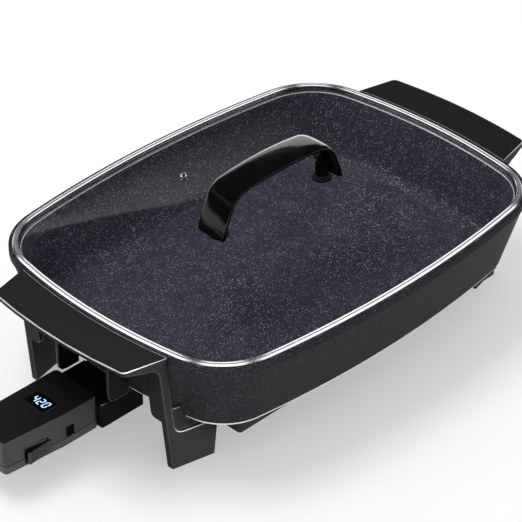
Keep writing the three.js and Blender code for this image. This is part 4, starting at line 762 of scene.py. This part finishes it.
def drill(piece, work):
    """Cuts the closed shape in a bmesh out of a piece, for good."""
    mesh = bpy.data.meshes.new("drill")
    bmesh.ops.recalc_face_normals(work, faces=work.faces)
    work.to_mesh(mesh)
    work.free()
    cutter = bpy.data.objects.new("drill", mesh)
    bpy.context.scene.collection.objects.link(cutter)
    cut = piece.modifiers.new("drill", "BOOLEAN")
    cut.object = cutter
    cut.operation = "DIFFERENCE"
    cut.solver = "EXACT"
    graph = bpy.context.evaluated_depsgraph_get()
    done = bpy.data.meshes.new_from_object(piece.evaluated_get(graph))
    piece.modifiers.clear()
    old, piece.data = piece.data, done
    done.name = old.name
    bpy.data.objects.remove(cutter)
    bpy.data.meshes.remove(mesh)


# Operators, one for each piece or group of like pieces, each after the steps that it takes


def cast_shell(work, pan):
    """The pan itself, from the edge of its underside up, over the rim and down to the floor."""
    ledge = pan.rim_height - pan.ledge_depth
    floor = pan.bottom_height + pan.floor_thickness
    band = pan.rim_height - pan.band_height
    outside = soften([
        (pan.bottom_inset + pan.bottom_cut, pan.bottom_height, 0),
        (pan.bottom_inset, pan.bottom_height + pan.bottom_chamfer, 0),
        (pan.band_proud, band - pan.band_proud, 0),
        (0, band, pan.edge / 4),
        (0, pan.rim_height, pan.edge),
        (pan.lip / 2, pan.rim_height, 0),
    ])
    inside = soften([
        (pan.lip / 2, pan.rim_height, 0),
        (pan.lip, pan.rim_height, pan.edge),
        (pan.lip, ledge, pan.edge),
        (pan.ledge_inset, ledge, pan.edge),
        (pan.floor_inset, floor, pan.floor_round),
        (pan.floor_inset + 2 * pan.floor_round, floor, 0),
    ])[1:]
    # The outside has one coat and the inside another; the bottom chamfer and the ledge's edge are bare metal,
    # pale enough to also paint their highlight lines
    coats = [THIRD_SLOT] + [MAIN_SLOT] * (len(outside) - 2) + [SECOND_SLOT] * len(inside)
    ledge_edge = len(outside) + [inset > pan.ledge_inset for inset, height in inside].index(True) - 1
    coats[ledge_edge - ROUND_STEPS // 2:ledge_edge + 1] = [THIRD_SLOT] * (ROUND_STEPS // 2 + 1)
    skin(work, [plan_ring(pan, inset, height) for inset, height in outside + inside], coats)


def cast_lugs(work, pan):
    """The four lugs under the handles, with soft edges."""
    layers = [(pan.edge, pan.lug_low), (0, pan.lug_low + pan.edge),
              (0, pan.lug_high - pan.edge), (pan.edge, pan.lug_high)]
    for end in (-1, 1):
        outer = end * (pan.half_length + pan.lug_reach + pan.lug_width / 2)
        inner = outer - end * pan.lug_length
        for side in (-1, 1):
            middle = side * pan.lug_spacing / 2
            low = Vector((min(outer, inner), middle - pan.lug_width / 2))
            high = Vector((max(outer, inner), middle + pan.lug_width / 2))
            skin(work, [box_ring(low, high, pan.lug_width / 2, inset, height, RIM_CENTRE)
                        for inset, height in layers])


class SKILLET_OT_pan(bpy.types.Operator):
    """Make the cast pan with its coats and its handle lugs"""
    bl_idname = "skillet.pan"
    bl_label = "Pan"

    def execute(self, context):
        pan = context.scene.skillet_pan
        work = bmesh.new()
        cast_shell(work, pan)
        cast_lugs(work, pan)
        piece = finish_piece("pan", work, "base", "pan_paint",
                             sprayed_charcoal(pan), speckled_non_stick(pan), milled_aluminium(pan))
        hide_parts("pan_body")
        return {"FINISHED"}


class SKILLET_OT_lid_rim(bpy.types.Operator):
    """Make the rolled steel rim of the lid"""
    bl_idname = "skillet.lid_rim"
    bl_label = "Lid rim"

    def execute(self, context):
        pan, lid = context.scene.skillet_pan, context.scene.skillet_lid
        low, high = (corner.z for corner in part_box("lid_ring"))
        inner = lid.inset + lid.rim_width
        channel = high - lid.channel
        outer_wall = lid.inset + lid.wall
        section = soften([
            (lid.inset, low, 0),
            (lid.inset, high - lid.bevel, lid.soft / 2),
            (lid.inset + lid.bevel, high, lid.soft / 2),
            (lid.inset + lid.bevel + lid.channel / 2, channel, lid.soft / 2),
            (inner - lid.bead, channel, lid.soft / 2),
            (inner - lid.bead * 2 / 3, high, lid.soft),
            (inner - lid.bead / 3, high, lid.soft),
            (inner, channel, lid.soft / 2),
            (inner, high - lid.upper, 0),
            (outer_wall, high - lid.upper, 0),
            (outer_wall, low + lid.wall, 0),
            (lid.inset + lid.flange, low + lid.wall, 0),
            (lid.inset + lid.flange, low, 0),
        ], is_loop=True)
        work = bmesh.new()
        skin(work, [plan_ring(pan, inset, height) for inset, height in section], is_loop=True)
        piece = finish_piece("lid_rim", work, "lid", "stainless", polished_stainless(lid))
        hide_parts("lid_ring")
        return {"FINISHED"}


def glass_top(lid, share):
    """Height of the glass top at a share of the way from the middle to the edge."""
    return lid.edge_top + lid.rise * (1 - share ** lid.crown_share)


def vent_place(pan, lid):
    """The matrix that turns the vent square to the glass and moves it to its place."""
    reach = pan.half_width - lid.glass_inset
    share = lid.vent_y / reach
    slope = lid.rise * lid.crown_share * share ** (lid.crown_share - 1) / reach
    spot = RIM_CENTRE + Vector((lid.vent_x, lid.vent_y, glass_top(lid, share)))
    return Matrix.Translation(spot) @ Matrix.Rotation(-math.atan(slope), 4, "X")


def press_dome(work, pan, lid):
    """The domed glass: its underside from the middle out, then its top from the edge in."""
    shares = [1 - (1 - lid.flat_share) * i / DOME_STEPS for i in range(DOME_STEPS + 1)]
    under = [plan_ring(pan, lid.glass_inset, glass_top(lid, share) - lid.glass, share)
             for share in shares[::-1]]
    upper = [plan_ring(pan, lid.glass_inset, glass_top(lid, share), share) for share in shares]
    skin(work, under + upper)


def lay_out_bores(work, lid, vent):
    """The bores of the vent and of the two handle screws, longer than the glass is thick."""
    bore = lid.vent_shank + lid.gap
    skin(work, turned_rings([(bore, -2 * lid.glass), (bore, lid.glass)], vent))
    screw_bore = lid.screw_radius + lid.gap
    low, high = lid.edge_top - lid.glass, glass_top(lid, 0) + lid.glass
    for end in (-1, 1):
        spot = Matrix.Translation(RIM_CENTRE + Vector((end * lid.boss_x, 0, 0)))
        skin(work, turned_rings([(screw_bore, low), (screw_bore, high)], spot))


def turn_eyelet(work, lid, vent):
    """The vent's eyelet, with a flat flange under the glass and a domed head on it."""
    top, bottom = lid.gap, -lid.glass - lid.gap
    section = soften([
        (lid.vent_bore, bottom - lid.vent_flange, 0),
        (lid.vent_radius, bottom - lid.vent_flange, 0),
        (lid.vent_radius, bottom, 0),
        (lid.vent_shank, bottom, 0),
        (lid.vent_shank, top, 0),
        (lid.vent_radius, top, 0),
        (lid.vent_radius, top + lid.vent_head, lid.vent_round),
        (lid.vent_bore, top + lid.vent_head, 0),
    ], is_loop=True)
    skin(work, turned_rings(section, vent), is_loop=True)


class SKILLET_OT_lid_glass(bpy.types.Operator):
    """Make the domed glass with its bores, and the vent's eyelet"""
    bl_idname = "skillet.lid_glass"
    bl_label = "Lid glass and vent"

    def execute(self, context):
        pan, lid = context.scene.skillet_pan, context.scene.skillet_lid
        vent = vent_place(pan, lid)
        dome, bores, ring = bmesh.new(), bmesh.new(), bmesh.new()
        press_dome(dome, pan, lid)
        glass = finish_piece("lid_glass_dome", dome, "lid", "clear_glass", tempered_glass(lid))
        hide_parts("lid_glass")
        lay_out_bores(bores, lid, vent)
        drill(glass, bores)
        turn_eyelet(ring, lid, vent)
        eyelet = finish_piece("vent_ring", ring, "lid", "stainless", bright_stainless(lid))
        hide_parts("vent_eyelet")
        return {"FINISHED"}


def trace_arch(base, crown, foot, knee, knee_drop, turn, shoulder, shoulder_drop):
    """One edge of the lid handle from foot to foot, as along and height; its curves join in line."""
    knee_z = crown - knee_drop
    shoulder_z = crown - shoulder_drop
    turn_z = shoulder_z - 2 * shoulder_drop / shoulder * (turn - shoulder)
    leg_z = (base + knee_z) / 2
    leg_x = knee + (knee - turn) * (knee_z - leg_z) / (turn_z - knee_z)
    corners = [(foot, base), (leg_x, leg_z), (knee, knee_z), (turn, turn_z), (shoulder, shoulder_z)]
    left = [Vector((-x, z)) for x, z in corners]
    right = [Vector(corner) for corner in corners[::-1]]
    corners = left + [Vector((0, crown + shoulder_drop))] + right
    points = []
    for start, handle, stop in zip(corners[:-2:2], corners[1::2], corners[2::2]):
        for step in range(LEG_STEPS):
            share = step / LEG_STEPS
            points.append(start.lerp(handle, share).lerp(handle.lerp(stop, share), share))
    return points + corners[-1:]


def strap_ring(lid, outside, inside):
    """A rounded oval across the lid handle, fuller on the outside than on the inside."""
    ring = []
    for step in range(STRAP_STEPS):
        turn = 2 * math.pi * step / STRAP_STEPS
        across, through = math.cos(turn), math.sin(turn)
        bend_share = 2 / (lid.outer_share if through > 0 else lid.inner_share)
        y = math.copysign(abs(across) ** bend_share, across) * lid.arch_width / 2
        share = (1 + math.copysign(abs(through) ** bend_share, through)) / 2
        point = inside.lerp(outside, share)
        ring.append(RIM_CENTRE + Vector((point.x, y, point.y)))
    return ring


class SKILLET_OT_lid_handle(bpy.types.Operator):
    """Make the lid handle: a polished strap bent to an arch, with a boss in each foot"""
    bl_idname = "skillet.lid_handle"
    bl_label = "Lid handle"

    def execute(self, context):
        lid = context.scene.skillet_lid
        base = glass_top(lid, lid.flat_share) + lid.gap
        crown = base + lid.arch_height
        outer = trace_arch(base, crown, lid.outer_foot, lid.outer_knee, lid.outer_knee_drop,
                           lid.outer_turn, lid.outer_shoulder, lid.outer_shoulder_drop)
        inner = trace_arch(base, crown - lid.arch_thickness, lid.inner_foot, lid.inner_knee,
                           lid.inner_knee_drop, lid.inner_turn, lid.inner_shoulder, lid.inner_shoulder_drop)
        work = bmesh.new()
        skin(work, [strap_ring(lid, outside, inside) for outside, inside in zip(outer, inner)])
        profile = [(lid.boss_radius, 0), (lid.boss_radius, lid.boss_height - lid.boss_edge),
                   (lid.boss_radius - lid.boss_edge, lid.boss_height)]
        for end in (-1, 1):
            spot = Matrix.Translation(RIM_CENTRE + Vector((end * lid.boss_x, 0, base)))
            skin(work, turned_rings(profile, spot))
        piece = finish_piece("lid_handle_arch", work, "lid", "gloss_phenolic", polished_phenolic(lid))
        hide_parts("lid_handle")
        return {"FINISHED"}


class SKILLET_OT_mouldings(bpy.types.Operator):
    """Dress the handle-and-leg frames, the terminal guard and the heat control's mouldings"""
    bl_idname = "skillet.mouldings"
    bl_label = "Mouldings"

    def execute(self, context):
        moulding = context.scene.skillet_moulding
        # The rounded edges of the frames and the guard take a second material with a painted highlight
        black, highlighted = moulded_phenolic(moulding), trimmed_phenolic(moulding)
        dress(black, moulding.frame_edge, "handle_left", edge_material=highlighted)
        # The right frame's rounds are smaller, so that its long outer edge stays inside the part's box
        dress(black, moulding.far_edge, "handle_right", edge_material=highlighted)
        dress(dull_phenolic(moulding), moulding.case_edge, "terminal_guard", edge_material=highlighted)
        satin, grey = satin_nylon(moulding), grey_nylon(moulding)
        dress(satin, moulding.case_edge, "control_top")
        dress(satin, moulding.plate_edge, "release_lever", "display_module")
        dress(key_rubber(moulding), moulding.plate_edge, "set_key")
        dress(grey, moulding.case_edge, "control_bottom", "plug_block")
        silicone = black_silicone(moulding)
        dress(silicone, moulding.plate_edge, "cord_gland", "lid_washer_left", "lid_washer_right")
        return {"FINISHED"}


class SKILLET_OT_hidden(bpy.types.Operator):
    """Dress the metal, ceramic and board pieces inside and underneath"""
    bl_idname = "skillet.hidden"
    bl_label = "Inner pieces"

    def execute(self, context):
        moulding = context.scene.skillet_moulding
        steel, ceramic = plated_steel(moulding), glazed_ceramic(moulding)
        screws = [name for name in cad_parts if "screw" in name]
        dress(steel, moulding.plate_edge, "terminal_pin_front", "terminal_pin_back", "probe_rod", *screws)
        dress(blued_sheet(moulding), moulding.plate_edge, "base_shield")
        dress(heated_sheath(moulding), moulding.plate_edge, "heating_element")
        dress(bare_casting(moulding), moulding.plate_edge, "sensor_well")
        dress(ceramic, moulding.plate_edge, "terminal_insulator_front", "terminal_insulator_back")
        dress(board_laminate(moulding), moulding.plate_edge, "circuit_board")
        dress(drawn_brass(moulding), moulding.plate_edge, "contact_front", "contact_back")
        return {"FINISHED"}


# Bars that are lit in each digit: a at the top, then clockwise to f, and g across the middle
LIT_SEGMENTS = {
    "0": "abcdef", "1": "bc", "2": "abged", "3": "abgcd", "4": "fgbc",
    "5": "afgcd", "6": "afgedc", "7": "abc", "8": "abcdefg", "9": "abcdfg",
}


def segment_shapes(display):
    """The seven bars of a digit, each as six corners: across from its left, up from its foot."""
    half, cut = display.stroke / 2, display.joint / 2
    left, right = half, display.width - half
    low, middle, high = half, display.height / 2, display.height - half

    def bar(x0, y0, x1, y1):
        start, stop = Vector((x0, y0)), Vector((x1, y1))
        along = (stop - start).normalized()
        side = Vector((-along.y, along.x)) * half
        start, stop = start + along * cut, stop - along * cut
        return [start, start + along * half + side, stop - along * half + side,
                stop, stop - along * half - side, start + along * half - side]

    return {
        "a": bar(left, high, right, high), "b": bar(right, high, right, middle),
        "c": bar(right, middle, right, low), "d": bar(right, low, left, low),
        "e": bar(left, low, left, middle), "f": bar(left, middle, left, high),
        "g": bar(left, middle, right, middle),
    }


def lay_digits(work, display, low, high):
    """The lit bars of the reading, upright for one who stands at the control's outer end."""
    shapes = segment_shapes(display)
    slant = display.slant_share
    text_length = display.advance * (len(display.reading) - 1) + display.width + slant * display.height
    middle = (low + high) / 2
    start_y = middle.y + text_length / 2
    foot_x = middle.x - display.height / 2
    for place, character in enumerate(display.reading):
        left_y = start_y - place * display.advance
        for name in LIT_SEGMENTS[character]:
            skin(work, [
                [Vector((foot_x + corner.y, left_y - corner.x - slant * corner.y, height))
                 for corner in shapes[name]]
                for height in (high.z - display.proud, high.z + display.proud)
            ])


class SKILLET_OT_display(bpy.types.Operator):
    """Make the display window and its lit digits"""
    bl_idname = "skillet.display"
    bl_label = "Display"

    def execute(self, context):
        display = context.scene.skillet_display
        low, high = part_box("display_window")
        pane, lit = bmesh.new(), bmesh.new()
        layers = [(0, low.z), (0, high.z - display.window_soft), (display.window_soft, high.z)]
        skin(pane, [box_ring(low.xy, high.xy, display.window_corner, inset, height)
                    for inset, height in layers])
        window = finish_piece("window", pane, "control", "display", smoked_acrylic(display))
        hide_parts("display_window")
        lay_digits(lit, display, low, high)
        finish_piece("digits", lit, "control", "display", lit_segments(display))
        return {"FINISHED"}


# Lamps as name, setting of the power, width, height and place, in millimetres
LAMPS = (
    ("key", "key_power", 1100, 1100, (-300, 650, 2300)),
    ("wall_fill", "wall_fill_power", 400, 400, (-500, -500, 300)),
    ("leg_fill", "leg_fill_power", 600, 600, (350, -900, 300)),
    ("left_box", "box_power", 2200, 2200, (-1500, 1500, 1500)),
    ("front_box", "box_power", 2200, 2200, (-1050, -1050, 2100)),
    ("right_box", "box_power", 2200, 2200, (1500, -1500, 1500)),
    ("rear_box", "rear_power", 1200, 1200, (1450, 1450, 1400)),
    ("back_strip", "back_power", 2600, 380, (1300, 1750, 210)),
    ("back_box", "back_box_power", 2600, 1100, (1300, 1750, 550)),
)

# Lamps that light; the others only show in glossy surfaces
LIGHTING = ("key", "wall_fill", "leg_fill")

# Lamps that light or show in some pieces alone, so that the black pieces stay black, and those pieces
SHOWN_IN = {
    "wall_fill": ("pan",),
    "leg_fill": ("handle_left",),
    "left_box": ("lid_rim", "vent_ring", "pan"),
    "right_box": ("lid_rim", "vent_ring"),
    "front_box": ("lid_rim",),
    "rear_box": ("lid_rim",),
    "back_box": ("lid_handle_arch",),
}


def lay_floor(stage):
    """The floor, which isn't part of the skillet."""
    half = stage.floor_size / 2
    corners = ((-half, -half), (half, -half), (half, half), (-half, half))
    work = bmesh.new()
    work.faces.new([work.verts.new((x, y, 0)) for x, y in corners])
    mesh = bpy.data.meshes.new("floor")
    work.to_mesh(mesh)
    work.free()
    floor = bpy.data.objects.new("floor", mesh)
    bpy.context.scene.collection.objects.link(floor)
    mesh.materials.append(floor_paper(stage))


def hang_lamps(stage, target):
    """The lamps, all aimed at the target."""
    for name, setting, width, height, place in LAMPS:
        lamp = bpy.data.lights.new(name, "AREA")
        lamp.energy = getattr(stage, setting)
        lamp.shape = "RECTANGLE"
        lamp.size, lamp.size_y = width * MM, height * MM
        # The key lamp is only aimed at, never met by chance, so that the glass doesn't mirror it
        lamp.cycles.use_multiple_importance_sampling = name != "key"
        holder = bpy.data.objects.new(name, lamp)
        holder.location = Vector(place) * MM
        holder.rotation_euler = (target - holder.location).to_track_quat("-Z", "Y").to_euler()
        holder.visible_diffuse = name in LIGHTING
        holder.visible_glossy = name not in LIGHTING
        if name in SHOWN_IN:
            receivers = bpy.data.collections.new("near_" + name)
            for piece_name in SHOWN_IN[name]:
                receivers.objects.link(bpy.data.objects[piece_name])
            holder.light_linking.receiver_collection = receivers
        bpy.context.scene.collection.objects.link(holder)


def surround(stage):
    """The world: even light on matt surfaces, a plain room in glossy ones and white behind it all."""
    world = bpy.data.worlds.new("surroundings")
    bpy.context.scene.world = world
    world.use_nodes = True
    tree = world.node_tree
    even = tree.nodes["Background"]
    even.inputs["Color"].default_value = WHITE
    even.inputs["Strength"].default_value = stage.sky

    # Gloss shows a room with a white horizon, grey walls and a dark ceiling
    direction = add(tree, "ShaderNodeTexCoord").outputs["Generated"]
    parts = add(tree, "ShaderNodeSeparateXYZ", links={"Vector": direction})
    greys = (
        (0, 1), (stage.horizon_share, 1), (stage.wall_share, stage.wall), (stage.glow_share, stage.wall),
        (stage.wall_top_share, stage.wall_top), (stage.ceiling_share, stage.ceiling),
    )
    shade = add(tree, "ShaderNodeValToRGB", links={"Fac": parts.outputs["Z"]},
                stops=[(share, (grey, grey, grey, 1)) for share, grey in greys])

    # Toward the right the walls stay unlit
    side = add(tree, "ShaderNodeMapRange", links={"Value": parts.outputs["X"]},
               inputs={"From Min": stage.lit_side_share, "From Max": stage.dark_side_share})
    above = add(tree, "ShaderNodeMapRange", links={"Value": parts.outputs["Z"]},
                inputs={"From Min": stage.horizon_share, "From Max": stage.wall_share})
    unlit = add(tree, "ShaderNodeMath", operation="MULTIPLY",
                links={FIRST: side.outputs["Result"], SECOND: above.outputs["Result"]})
    walls = add(tree, "ShaderNodeMixRGB", inputs={"Color2": (stage.wall, stage.wall, stage.wall, 1)},
                links={"Fac": unlit.outputs["Value"], "Color1": shade.outputs["Color"]})
    room = add(tree, "ShaderNodeBackground", links={"Color": walls.outputs["Color"]})

    # A ray from a matt surface meets even light, one from a glossy surface meets the room, and one from
    # the camera meets plain white, also straight through the glass
    white = add(tree, "ShaderNodeBackground", inputs={"Color": WHITE})
    rays = add(tree, "ShaderNodeLightPath")
    matt = add(tree, "ShaderNodeMath", operation="MINIMUM", inputs={SECOND: 1},
               links={FIRST: rays.outputs["Diffuse Depth"]})
    bounced = add(tree, "ShaderNodeMath", operation="ADD", use_clamp=True,
                  links={FIRST: matt.outputs["Value"], SECOND: rays.outputs["Glossy Depth"]})
    lighting = add(tree, "ShaderNodeMixShader", links={
        "Fac": matt.outputs["Value"], MIX_A: room.outputs["Background"], MIX_B: even.outputs["Background"]})
    mix = add(tree, "ShaderNodeMixShader", links={
        "Fac": bounced.outputs["Value"], MIX_A: white.outputs["Background"],
        MIX_B: lighting.outputs["Shader"]})
    tree.links.new(mix.outputs["Shader"], tree.nodes["World Output"].inputs["Surface"])


def place_camera(stage, target):
    """The camera, at the photograph's viewing angle."""
    camera = bpy.data.cameras.new("camera")
    camera.sensor_width = stage.sensor
    camera.lens = stage.focal_share * stage.sensor
    eye = bpy.data.objects.new("camera", camera)
    back = Vector((math.sin(stage.azimuth) * math.cos(stage.elevation),
                   -math.cos(stage.azimuth) * math.cos(stage.elevation), math.sin(stage.elevation)))
    eye.location = target + back * stage.distance
    eye.rotation_mode = "QUATERNION"
    level_view = (-back).to_track_quat("-Z", "Y")
    eye.rotation_quaternion = level_view @ Matrix.Rotation(stage.roll, 4, "Z").to_quaternion()
    bpy.context.scene.collection.objects.link(eye)
    bpy.context.scene.camera = eye


class SKILLET_OT_stage(bpy.types.Operator):
    """Make the floor, the lamps, the plain surroundings and the camera"""
    bl_idname = "skillet.stage"
    bl_label = "Stage"

    def execute(self, context):
        stage = context.scene.skillet_stage
        target = RIM_CENTRE + Vector((stage.target_x, stage.target_y, stage.target_z))
        lay_floor(stage)
        hang_lamps(stage, target)
        surround(stage)
        place_camera(stage, target)
        context.scene.view_settings.view_transform = "Standard"
        return {"FINISHED"}


class SKILLET_PT_panel(bpy.types.Panel):
    """Lists the steps that dress the skillet."""
    bl_idname = "SKILLET_PT_panel"
    bl_label = "Electric skillet"
    bl_space_type = "VIEW_3D"
    bl_region_type = "UI"
    bl_category = "Skillet"

    def draw(self, context):
        for step in STEPS:
            self.layout.operator(step.bl_idname)


STEPS = (
    SKILLET_OT_pan,
    SKILLET_OT_lid_rim,
    SKILLET_OT_lid_glass,
    SKILLET_OT_lid_handle,
    SKILLET_OT_mouldings,
    SKILLET_OT_hidden,
    SKILLET_OT_display,
    SKILLET_OT_stage,
)
SETTINGS = {
    "skillet_pan": PanSettings,
    "skillet_lid": LidSettings,
    "skillet_moulding": MouldingSettings,
    "skillet_display": DisplaySettings,
    "skillet_stage": StageSettings,
}


def register():
    for kind in (*SETTINGS.values(), *STEPS, SKILLET_PT_panel):
        bpy.utils.register_class(kind)
    for name, kind in SETTINGS.items():
        setattr(bpy.types.Scene, name, bpy.props.PointerProperty(type=kind))


def unregister():
    for name in SETTINGS:
        delattr(bpy.types.Scene, name)
    for kind in (SKILLET_PT_panel, *STEPS, *SETTINGS.values()):
        bpy.utils.unregister_class(kind)


def main():
    register()
    for step in STEPS:
        group, name = step.bl_idname.split(".")
        getattr(getattr(bpy.ops, group), name)()


if __name__ == "__main__":
    main()
